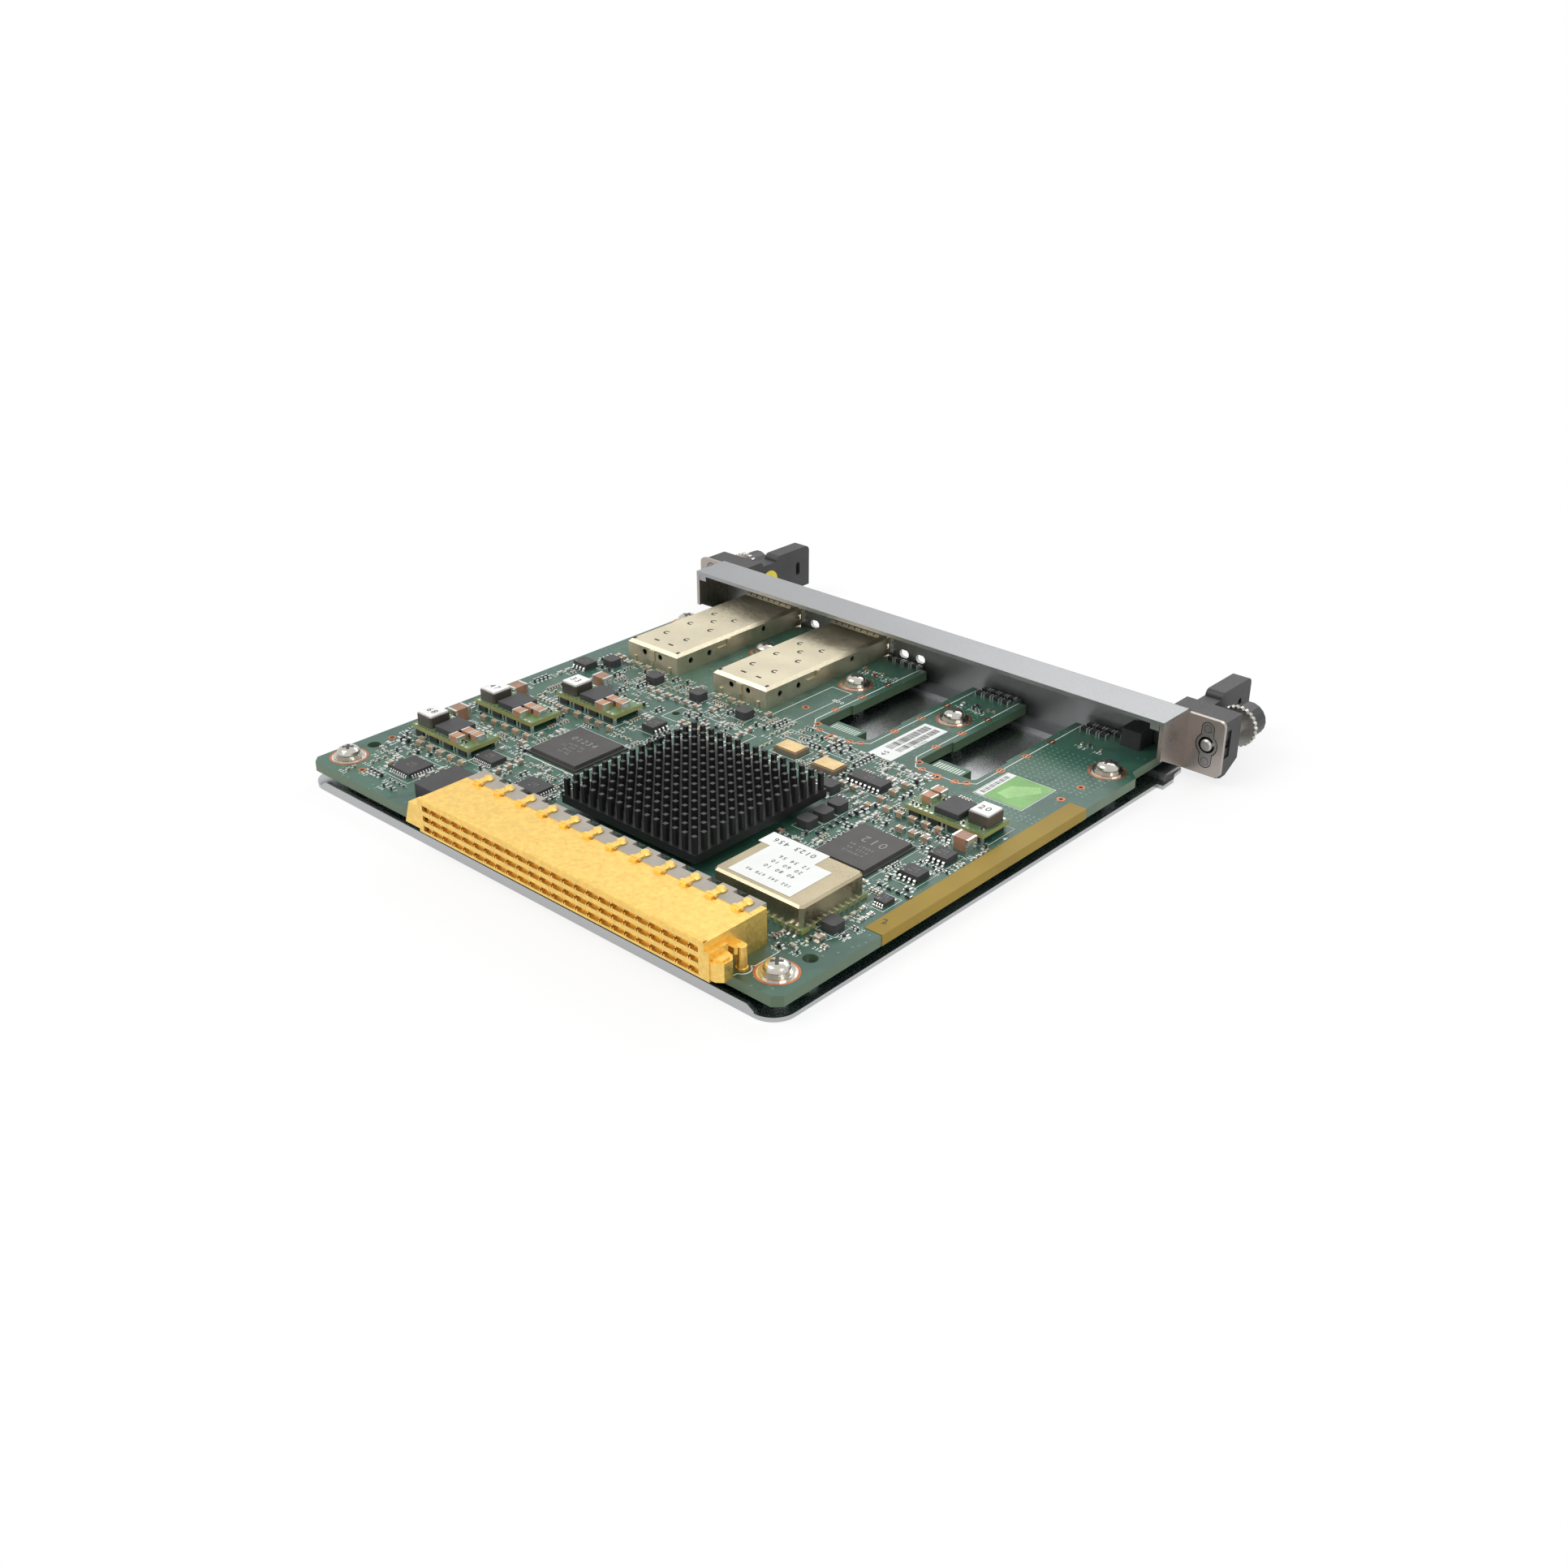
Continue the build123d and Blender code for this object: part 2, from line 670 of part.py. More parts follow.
# Rear plug connector: a hollow shell with three mouths, its contact wafers,
# the moulded strip behind it and the gold hooks that hold the strip
shell_front = board_rear - plug_overhang
shell_rear = shell_front + plug_body_depth
shell_right = from_right(14.6)
shell_left = shell_right - plug_body_width
shell_middle = (shell_left + shell_right) / 2
shell_top = board_top + plug_body_height
cavity_left = shell_left + plug_shell_wall
cavity_right = shell_right - plug_shell_wall
cavity_front = shell_front + plug_slot_depth
cavity_width = cavity_right - cavity_left
hook_pitch = (plug_body_width - 8.4) / (hook_count - 1)
with BuildPart() as shell:
    with BuildSketch(Plane.XY.offset(board_top)):
        with Locations((shell_middle, shell_front)):
            Rectangle(plug_body_width, plug_body_depth, align=(Align.CENTER, Align.MIN))
        with Locations((shell_right, shell_rear)):
            Rectangle(1.4, plug_strip_depth - 1.4, align=(Align.MAX, Align.MIN))
    extrude(amount=plug_body_height)
    with BuildSketch(Plane.XY.offset(board_top + 0.6)):
        with Locations((shell_middle, cavity_front)):
            Rectangle(
                cavity_width,
                plug_body_depth - plug_slot_depth - 0.8,
                align=(Align.CENTER, Align.MIN),
            )
    extrude(amount=plug_body_height - 1.2, mode=Mode.SUBTRACT)
    with BuildSketch(cross_plane(shell_front)):
        with Locations((shell_middle, board_top + plug_body_height / 2 - 0.3)):
            with GridLocations(1, plug_slot_pitch, 1, plug_slot_count):
                Rectangle(cavity_width, plug_slot_height)
    extrude(amount=-plug_slot_depth - 0.5, mode=Mode.SUBTRACT)
    with BuildSketch(Plane.XY.offset(shell_top)):
        with Locations((shell_middle + 0.2, shell_rear - 1.2)):
            with GridLocations(hook_pitch, 1, hook_count, 1):
                Rectangle(hook_width, 4.5, align=(Align.CENTER, Align.MIN))
    extrude(amount=0.5)
    # guide block on one end and the wedge-shaped lug on the other
    with BuildSketch(Plane.XY.offset(board_top)):
        with Locations((shell_right, shell_front)):
            Rectangle(1.3, 5.2, align=(Align.MIN, Align.MIN))
    extrude(amount=plug_body_height - 1.7)
    with BuildSketch(cross_plane(shell_front)):
        with BuildLine():
            Polyline(
                (shell_left, board_top + 0.7),
                (shell_left - 5.0, board_top + 0.7),
                (shell_left - 3.2, board_top + 6.2),
                (shell_left, board_top + 6.2),
                close=True,
            )
        make_face()
    extrude(amount=-3.0)
    # guide post that stands on the board beside the guide block
    with BuildSketch(Plane.XY.offset(board_top)):
        with Locations((shell_right + 1.3 + 1.2, shell_front + 7.6)):
            RegularPolygon(1.1, rim_sides)
    extrude(amount=5.0, taper=4)
shell.part.label = "backplane_shell"
export_step(shell.part, "parts/backplane_shell.step")

blade_count = int((cavity_width - 1) // blade_pitch)
with BuildPart() as wafers:
    with BuildSketch(Plane.XY.offset(board_top + 0.6)):
        with Locations((shell_middle, cavity_front + 0.2)):
            with GridLocations(blade_pitch, 1, blade_count, 1):
                Rectangle(
                    blade_thickness,
                    plug_body_depth - plug_slot_depth - 1.4,
                    align=(Align.CENTER, Align.MIN),
                )
    extrude(amount=plug_body_height - 1.2)
wafers.part.label = "backplane_contacts"
export_step(wafers.part, "parts/backplane_contacts.step")

with BuildPart() as strip:
    with BuildSketch(Plane.XY.offset(board_top)):
        with Locations((shell_left, shell_rear)):
            Rectangle(
                plug_body_width - 1.4,
                plug_strip_depth,
                align=(Align.MIN, Align.MIN),
            )
    extrude(amount=plug_body_height)
    with BuildSketch(Plane.XY.offset(shell_top)):
        with Locations((shell_middle + 0.2, shell_rear + plug_strip_depth)):
            with GridLocations(hook_pitch, 1, hook_count - 1, 1):
                Rectangle(3.2, 1.4, align=(Align.CENTER, Align.MAX))
    extrude(amount=-2.0, mode=Mode.SUBTRACT)
strip.part.label = "backplane_strip"
export_step(strip.part, "parts/backplane_strip.step")

block_width = 10.4
block_left = shell_left - 3.2 - block_width
with BuildPart() as side_block:
    with BuildSketch(Plane.XY.offset(board_top)):
        with Locations((block_left + block_width / 2, shell_front + 14.85)):
            Rectangle(block_width, 12.1)
    extrude(amount=3.9)
    chamfer(side_block.edges().filter_by(Axis.Z), 0.4)
side_block.part.label = "side_block"
export_step(side_block.part, "parts/side_block.step")

# Processor with its pin-fin heat sink
sink_x = 9.85
sink_y = from_rear(43.4)
sink_low = board_top + processor_height
with BuildPart() as processor:
    with BuildSketch(part_plane(sink_x, sink_y)):
        Rectangle(processor_side, processor_side)
    extrude(amount=processor_height - 0.7)
    with BuildSketch(part_plane(sink_x, sink_y, processor_height - 0.7)):
        Rectangle(processor_side - 8, processor_side - 8)
    extrude(amount=0.7)
processor.part.label = "processor_chip"
export_step(processor.part, "parts/processor_chip.step")

with BuildPart() as heat_sink:
    with BuildSketch(Plane((sink_x, sink_y, sink_low))):
        Rectangle(sink_width, sink_width)
    extrude(amount=sink_base)
    with BuildSketch(Plane((sink_x, sink_y, sink_low + sink_base))):
        with GridLocations(pin_pitch, pin_pitch, pin_count, pin_count):
            Rectangle(pin_side, pin_side)
    extrude(amount=pin_height)
heat_sink.part.label = "heat_sink"
export_step(heat_sink.part, "parts/heat_sink.step")

# Flat packages without leads
with BuildPart() as logic_chip:
    with BuildSketch(part_plane(-31.45, from_rear(45.3))):
        Rectangle(logic_side, logic_side)
    extrude(amount=chip_height * 0.4)
    with BuildSketch(part_plane(-31.45, from_rear(45.3), chip_height * 0.4)):
        Rectangle(logic_side - 1.2, logic_side - 1.2)
    extrude(amount=chip_height * 0.6, taper=15)
logic_chip.part.label = "logic_chip"
export_step(logic_chip.part, "parts/logic_chip.step")

with BuildPart() as memory_chip:
    with BuildSketch(part_plane(50.3, from_rear(53.5))):
        Rectangle(memory_width, memory_depth)
    extrude(amount=chip_height * 0.35)
    with BuildSketch(part_plane(50.3, from_rear(53.5), chip_height * 0.35)):
        Rectangle(memory_width - 0.9, memory_depth - 0.9)
    extrude(amount=chip_height * 0.65, taper=12)
memory_chip.part.label = "memory_chip"
export_step(memory_chip.part, "parts/memory_chip.step")

# Oscillator: a drawn can on its own small circuit board
can_x = from_right(24.15)
can_y = from_rear(29.6)
with BuildPart() as can_base:
    with BuildSketch(part_plane(can_x, can_y)):
        Rectangle(can_width + 2 * can_base_margin, can_depth + 2 * can_base_margin)
    extrude(amount=can_base_thickness)
can_base.part.label = "oscillator_base"
export_step(can_base.part, "parts/oscillator_base.step")

with BuildPart() as can:
    with BuildSketch(part_plane(can_x, can_y, can_base_thickness)) as can_outline:
        Rectangle(can_width, can_depth)
        chamfer(can_outline.vertices(), 0.8)
    extrude(amount=can_height)
    chamfer(can.faces().sort_by(Axis.Z)[-1].edges(), 0.5)
can.part.label = "oscillator_can"
export_step(can.part, "parts/oscillator_can.step")

with BuildPart() as can_label:
    with BuildSketch(part_plane(can_x - 0.8, can_y - 1.75, can_base_thickness + can_height)):
        Rectangle(16.9, 12.7)
        with Locations((-4.1, 8.8)):
            Rectangle(15.5, 4.9)
    extrude(amount=0.1)
can_label.part.label = "can_label"
export_step(can_label.part, "parts/can_label.step")

# Four small power boards on header strips, each with a chip, an inductor and
# two capacitors; the last one is turned half round
module_spots = [
    (from_left(16.45), from_rear(30.0), 1, 5.35),
    (from_left(16.45), from_rear(49.35), 1, 5.35),
    (from_left(28.05), from_rear(66.0), 1, 5.35),
    (from_right(17.95), from_rear(77.65), -1, 7.55),
]
module_top = module_header + module_board
for number, (x, y, way, shift) in enumerate(module_spots, start=1):
    with BuildPart() as module:
        with BuildSketch(part_plane(x, y, module_header)):
            Rectangle(module_width, module_depth)
        extrude(amount=module_board)
    module.part.label = f"power_board_{number}"
    export_step(module.part, f"parts/power_board_{number}.step")

    with BuildPart() as coil:
        with BuildSketch(part_plane(x - 7.25 * way, y - 0.75 * way, module_top)) as coil_outline:
            Rectangle(5.6, 5.95)
            chamfer(coil_outline.vertices(), 0.4)
        extrude(amount=2.6)
        with BuildSketch(part_plane(x - 7.25 * way, y - 0.75 * way, module_top + 2.6)):
            Rectangle(4.9, 5.2)
        extrude(amount=0.45)
    coil.part.label = f"power_inductor_{number}"
    export_step(coil.part, f"parts/power_inductor_{number}.step")

    with BuildPart() as switcher:
        with BuildSketch(part_plane(x + 0.25 * way, y - 0.1 * way, module_top)):
            Rectangle(6.6, 7.1)
        extrude(amount=1.55)
        chamfer(switcher.faces().sort_by(Axis.Z)[-1].edges(), 0.15)
    switcher.part.label = f"power_chip_{number}"
    export_step(switcher.part, f"parts/power_chip_{number}.step")

with BuildPart() as headers:
    for x, y, _, _ in module_spots:
        with BuildSketch(part_plane(x, y)):
            with GridLocations(5.4, module_depth - 1.6, 4, 2):
                Rectangle(2.8, 1.6)
        extrude(amount=module_header)
headers.part.label = "power_board_headers"
export_step(headers.part, "parts/power_board_headers.step")

with BuildPart() as module_capacitors:
    for x, y, way, shift in module_spots:
        with BuildSketch(part_plane(x + shift * way, y, module_top)):
            with Locations((0, 3.5 * -way), (0, 0.05)):
                Rectangle(3.15, 2.6)
        extrude(amount=1.65)
module_capacitors.part.label = "power_capacitors"
export_step(module_capacitors.part, "parts/power_capacitors.step")

with BuildPart() as bulk_capacitors:
    for x, y, turned in (
        (from_right(9.4), from_rear(69.1), False),
        (from_left(19.4), from_rear(75.1), False),
        (from_left(7.75), from_rear(56.5), True),
        (from_left(7.75), from_rear(37.9), True),
    ):
        with BuildSketch(part_plane(x, y, 0, turned)):
            Rectangle(4.4, 3.3)
        extrude(amount=3.2)
    chamfer(bulk_capacitors.edges().filter_by(Axis.Z), 0.25)
bulk_capacitors.part.label = "bulk_capacitors"
export_step(bulk_capacitors.part, "parts/bulk_capacitors.step")


# Gull-wing packages: a moulded body, upright knees and flat feet on the board.
# Each row gives place, body, number of leads a side, pitch, span and turn.
outline_packages = [
    (31.1, from_rear(78.5), 9.9, 3.9, 1.75, 8, 1.27, 6.0, False),
    (from_right(9.75), from_rear(62.2), 4.9, 3.9, 1.75, 4, 1.27, 6.0, False),
    (from_right(9.55), from_rear(52.2), 4.9, 3.9, 1.75, 4, 1.27, 6.0, False),
    (from_left(6.4), -cover_depth - 12.3, 4.9, 3.9, 1.75, 4, 1.27, 6.0, False),
    (-26.8, from_rear(66.2), 4.9, 3.9, 1.75, 4, 1.27, 6.0, True),
    (from_right(7.6), from_rear(40.15), 3.0, 3.0, 1.1, 4, 0.65, 4.9, False),
]
thin_packages = [
    (-42.8, from_rear(28.1), 6.5, 4.4, 1.2, 10, 0.65, 6.4, False),
    (-23.7, from_rear(25.1), 6.0, 7.2, 1.2, 8, 0.75, 9.4, True),
]
lead_thickness = 0.2
lead_share = 0.36
for label, packages in (
    ("small_outline_chips", outline_packages),
    ("thin_outline_chips", thin_packages),
):
    with BuildPart() as chips:
        for x, y, length, width, height, pins, pitch, span, turned in packages:
            with BuildSketch(part_plane(x, y, 0.15, turned)):
                Rectangle(length, width)
            extrude(amount=height - 0.15)
            # a coarse row has its own leads, a fine row is one thin comb strip
            coarse = pitch > 1.0
            lead_width = pitch * lead_share if coarse else pitch * pins
            lead_count = pins if coarse else 1
            with BuildSketch(part_plane(x, y, 0, turned)):
                with GridLocations(pitch, (span + width) / 2, lead_count, 2):
                    Rectangle(lead_width, (span - width) / 2)
            extrude(amount=lead_thickness)
    chips.part.label = label
    export_step(chips.part, f"parts/{label}.step")

# the square chip stands midway between the side block and the rear screw
washer_edge = board_screw_spots[0][0] + washer_radius
quad_x = (block_left + washer_edge) / 2 + 0.325
quad_y = from_rear(12.9)
with BuildPart() as quad_chip:
    with BuildSketch(part_plane(quad_x, quad_y, 0.1)):
        Rectangle(7.0, 7.0)
    extrude(amount=1.1)
    for turned in (False, True):
        with BuildSketch(part_plane(quad_x, quad_y, 0, turned)):
            with GridLocations(1, 8.0, 1, 2):
                Rectangle(5.8, 1.0)
        extrude(amount=0.16)
quad_chip.part.label = "quad_flat_chip"
export_step(quad_chip.part, "parts/quad_flat_chip.step")

# Shielded inductors: square bodies with clipped corners; the last four stand
# in a row behind the cages
row_y = -cover_depth - 6.7
coil_spots = [
    (33.6, from_rear(64.55)),
    (33.8, from_rear(59.5)),
    (33.6, from_rear(54.3)),
    (26.35, from_rear(70.3)),
    (from_right(8.85), from_rear(25.7)),
    (cage_xs[0] - 8.5, row_y),
    (cage_xs[0] + 7.9, row_y),
    (cage_xs[1] - 8.05, row_y),
    (cage_xs[1] + 8.1, row_y),
]
with BuildPart() as small_coils:
    for x, y in coil_spots:
        with BuildSketch(part_plane(x, y)) as coil_square:
            Rectangle(3.8, 3.8)
            chamfer(coil_square.vertices(), 0.5)
        extrude(amount=2.0)
small_coils.part.label = "shielded_inductors"
export_step(small_coils.part, "parts/shielded_inductors.step")

# Crystal cans: a ceramic tub with a raised metal lid
with BuildPart() as crystals:
    for x, y in ((6.25, from_rear(79.4)), (19.0, from_rear(78.4))):
        with BuildSketch(part_plane(x, y)):
            Rectangle(7.0, 5.0)
        extrude(amount=1.2)
        with BuildSketch(part_plane(x, y, 1.2)):
            Rectangle(6.3, 4.3)
        extrude(amount=0.3)
crystals.part.label = "crystals"
export_step(crystals.part, "parts/crystals.step")

# Ceramic capacitors in rows: start, step and number of each row
with BuildPart() as ceramics:
    for x, y, step_x, step_y, number in (
        (38.5, from_rear(82.6), 0, -4.4, 4),
        (from_right(32.0), from_rear(71.0), 3.6, 0, 5),
        (from_right(24.0), from_rear(65.8), 3.4, 0, 3),
        (from_left(13.0), from_rear(22.0), 4.0, 0, 5),
        (from_left(13.0), from_rear(41.6), 4.0, 0, 5),
        (from_left(24.6), from_rear(58.2), 4.0, 0, 5),
    ):
        with BuildSketch(part_plane(x, y)):
            for index in range(number):
                with Locations((index * step_x, index * step_y)):
                    Rectangle(2.0, 1.3)
        extrude(amount=1.2)
ceramics.part.label = "ceramic_capacitors"
export_step(ceramics.part, "parts/ceramic_capacitors.step")

# Chip resistors in rows
with BuildPart() as resistors:
    for x, y, step_x, step_y, number in (
        (-16.0, from_rear(66.0), 0, 2.2, 6),
        (-20.0, from_rear(30.5), 2.3, 0, 4),
        (from_left(32.0), from_rear(19.8), 2.3, 0, 5),
        (from_right(36.6), from_rear(64.0), 0, -2.2, 6),
        (from_right(12.5), from_rear(45.0), 2.4, 0, 4),
    ):
        with BuildSketch(part_plane(x, y)):
            for index in range(number):
                with Locations((index * step_x, index * step_y)):
                    Rectangle(1.6, 0.8)
        extrude(amount=0.5)
resistors.part.label = "chip_resistors"
export_step(resistors.part, "parts/chip_resistors.step")

# Twin status-lamp block at the front edge
with BuildPart() as lamp_block:
    with BuildSketch(part_plane(from_right(9.85), -3.6)):
        Rectangle(5.5, 6.0)
    extrude(amount=4.6)
    chamfer(lamp_block.edges().filter_by(Axis.Z), 0.3)
lamp_block.part.label = "lamp_block"
export_step(lamp_block.part, "parts/lamp_block.step")

# Thin films on the board: edge tape folded over the side, label and sticker
tape_thickness = 0.12
with BuildPart() as edge_tape:
    with BuildSketch(cross_plane(from_rear(30.1))):
        with BuildLine():
            Polyline(
                (board_half - 4.4, board_top),
                (board_half, board_top),
                (board_half, board_bottom),
                (board_half + tape_thickness, board_bottom),
                (board_half + tape_thickness, board_top + tape_thickness),
                (board_half - 4.4, board_top + tape_thickness),
                close=True,
            )
        make_face()
    extrude(amount=-71.6)
edge_tape.part.label = "edge_tape"
export_step(edge_tape.part, "parts/edge_tape.step")

with BuildPart() as board_labels:
    with BuildSketch(part_plane((port_xs[2] + port_xs[3]) / 2 - 0.15, -39.55)):
        Rectangle(7.0, 22.0)
    with BuildSketch(part_plane(from_right(16.85), -43.5)):
        Rectangle(12.9, 13.0)
    extrude(amount=0.1)
board_labels.part.label = "board_labels"
export_step(board_labels.part, "parts/board_labels.step")
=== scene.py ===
import math
import random
import bmesh
import bpy
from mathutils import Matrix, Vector
from mathutils.bvhtree import BVHTree


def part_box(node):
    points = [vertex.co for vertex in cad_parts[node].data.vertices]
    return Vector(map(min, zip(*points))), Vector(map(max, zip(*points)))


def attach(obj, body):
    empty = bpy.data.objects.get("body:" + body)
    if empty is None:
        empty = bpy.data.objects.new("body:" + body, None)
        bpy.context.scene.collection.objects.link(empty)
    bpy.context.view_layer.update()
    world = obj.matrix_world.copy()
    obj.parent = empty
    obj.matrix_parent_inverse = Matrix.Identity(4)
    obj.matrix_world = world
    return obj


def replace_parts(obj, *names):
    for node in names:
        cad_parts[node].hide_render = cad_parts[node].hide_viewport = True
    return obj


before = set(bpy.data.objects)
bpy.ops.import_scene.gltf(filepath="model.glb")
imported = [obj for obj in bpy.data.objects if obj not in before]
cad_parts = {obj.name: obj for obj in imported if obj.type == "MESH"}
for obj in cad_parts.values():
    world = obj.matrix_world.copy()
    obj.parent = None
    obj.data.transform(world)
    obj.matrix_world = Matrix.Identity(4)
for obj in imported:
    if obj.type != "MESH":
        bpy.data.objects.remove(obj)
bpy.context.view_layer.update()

mm = 0.001  # places and sizes are written in millimetres


# a node's lowest and highest corner
def nodeBox(node):
    low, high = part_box(node)
    return [value * 1000 for value in low], [value * 1000 for value in high]


def middleOf(low, high):
    return (low[0] + high[0]) / 2, (low[1] + high[1]) / 2


boardLow, boardTop = (corner[2] for corner in nodeBox("main_board"))
cagedPorts, emptyPorts = (-55.4, -23.7), (8.0, 39.7)  # the middles of the four ports
guidePost = (62.5, -138.4)


# shader helpers
def startMaterial(name, color, metal, rough):
    material = bpy.data.materials.new(name)
    material.use_nodes = True
    shader = material.node_tree.nodes["Principled BSDF"]
    shader.inputs["Base Color"].default_value = (*color, 1)
    shader.inputs["Metallic"].default_value = metal
    shader.inputs["Roughness"].default_value = rough
    return material, material.node_tree, shader


def addNode(tree, kind, inputs=None, **settings):
    node = tree.nodes.new(kind)
    for key, value in settings.items():
        setattr(node, key, value)
    for key, value in (inputs or {}).items():
        if isinstance(value, bpy.types.NodeSocket):
            tree.links.new(value, node.inputs[key])
        else:
            node.inputs[key].default_value = value
    return node


def objectPoint(tree, scale=(1, 1, 1)):
    place = addNode(tree, "ShaderNodeTexCoord").outputs["Object"]
    return addNode(tree, "ShaderNodeMapping", {"Vector": place, "Scale": scale}).outputs["Vector"]


def mathNode(tree, operation, first, second=0.0):
    return addNode(tree, "ShaderNodeMath", {0: first, 1: second}, operation=operation).outputs[0]


def remap(tree, value, low, high, toLow=0.0, toHigh=1.0):
    inputs = {"Value": value, "From Min": low, "From Max": high, "To Min": toLow, "To Max": toHigh}
    return addNode(tree, "ShaderNodeMapRange", inputs).outputs[0]


def mixColor(tree, factor, *sides):
    first, second = (side if isinstance(side, bpy.types.NodeSocket) else (*side, 1) for side in sides)
    return addNode(tree, "ShaderNodeMix", {0: factor, 6: first, 7: second}, data_type="RGBA").outputs[2]


def noiseValue(tree, point, scale, detail):
    inputs = {"Vector": point, "Scale": scale, "Detail": detail, "Roughness": 0.55}
    return addNode(tree, "ShaderNodeTexNoise", inputs).outputs[0]


def scaled(color, factor):
    return tuple(min(1.0, channel * factor) for channel in color)


# a colour that drifts darker and paler with a cloud
def cloudTint(tree, cloud, color, spread):
    return mixColor(tree, remap(tree, cloud, 0.3, 0.7), scaled(color, 1 - spread), scaled(color, 1 + spread))


# links values to the shader, with fine relief from a height
def wireShader(tree, shader, values, height, strength, depth=0.00003):
    relief = addNode(tree, "ShaderNodeBump", {"Height": height, "Strength": strength, "Distance": depth})
    for socket, value in {**values, "Normal": relief.outputs[0]}.items():
        tree.links.new(value, shader.inputs[socket])


# metal: brushed or cloudy colour, streaked roughness and a fine bump
def metalFinish(name, color, rough, brush, grain, cloud, spread, bump):
    material, tree, shader = startMaterial(name, color, 1.0, rough)
    streak = noiseValue(tree, objectPoint(tree, brush), grain, 3.0)
    cloudy = noiseValue(tree, objectPoint(tree), cloud, 5.0)
    streaked = remap(tree, streak, 0.35, 0.65, 0.0, 0.35)
    tint = mixColor(tree, streaked, cloudTint(tree, cloudy, color, spread), scaled(color, 1 - 1.6 * spread))
    fineRough = remap(tree, streak, 0.3, 0.7, rough * 0.7, rough * 1.25)
    roughness = mathNode(tree, "ADD", fineRough, remap(tree, cloudy, 0.3, 0.7, -0.04, 0.06))
    wireShader(tree, shader, {"Base Color": tint, "Roughness": roughness}, streak, bump, 0.00002)
    return material


# moulded plastic, ceramic, paper or ink: fine pitted grain with a faint cloud in the colour
def mouldedFinish(name, color, rough, grain, cloud, spread, bump):
    material, tree, shader = startMaterial(name, color, 0.0, rough)
    pits = noiseValue(tree, objectPoint(tree), grain, 2.0)
    tint = cloudTint(tree, noiseValue(tree, objectPoint(tree), cloud, 5.0), color, spread)
    tint = mixColor(tree, remap(tree, pits, 0.62, 0.75, 0.0, 2 * spread), tint, scaled(color, 1.4))
    roughness = remap(tree, pits, 0.3, 0.7, rough * 0.85, rough * 1.15)
    wireShader(tree, shader, {"Base Color": tint, "Roughness": roughness}, pits, bump)
    return material


# one finish below a level along an axis and another above it, each as (colour, metal, rough)
def twoToneFinish(name, below, above, axis, level):
    material, tree, shader = startMaterial(name, *below)
    point = addNode(tree, "ShaderNodeTexCoord").outputs["Object"]
    height = addNode(tree, "ShaderNodeSeparateXYZ", {0: point}).outputs[axis]
    share = mathNode(tree, "GREATER_THAN", height, level * mm)
    pits = noiseValue(tree, objectPoint(tree), 4200, 2.0)
    cloudy = noiseValue(tree, objectPoint(tree), 220, 4.0)
    tints = [cloudTint(tree, cloudy, color, 0.15) for color, _, _ in (below, above)]
    pitted = remap(tree, pits, 0.3, 0.7, 0.85, 1.15)
    values = {
        "Base Color": mixColor(tree, share, *tints),
        "Metallic": remap(tree, share, 0, 1, below[1], above[1]),
        "Roughness": mathNode(tree, "MULTIPLY", remap(tree, share, 0, 1, below[2], above[2]), pitted),
    }
    wireShader(tree, shader, values, pits, 0.3)
    return material


# solder mask over traces, vias with a dark dot of painted shade in each hole, and a glass weave; bare
# laminate on the cut sides
boardLook = {
    "mask": (0.028, 0.090, 0.058),
    "copper": (0.035, 0.114, 0.083),
    "pour": (0.018, 0.068, 0.049),
    "side": (0.085, 0.145, 0.080),
    "viaRing": (0.16, 0.30, 0.22),
    "viaHoleShade": (0.02, 0.05, 0.04),
    "tracePitch": 0.55,
    "viaPitch": 1.9,
    "patchScale": 0.13,  # each patch has traces that run one way, or none
    "pourScale": 0.06,
    "cloudScale": 0.35,
    "weaveScale": 0.9,
    "coat": 0.15,
}
moduleLook = {
    **boardLook,
    "mask": (0.10, 0.19, 0.075),
    "copper": (0.2, 0.29, 0.12),
    "pour": (0.07, 0.14, 0.05),
    "side": (0.36, 0.36, 0.12),
    "viaPitch": 1.3,
}
bandUnit = 0.314  # the wave texture's scale at which its bands are 1 apart


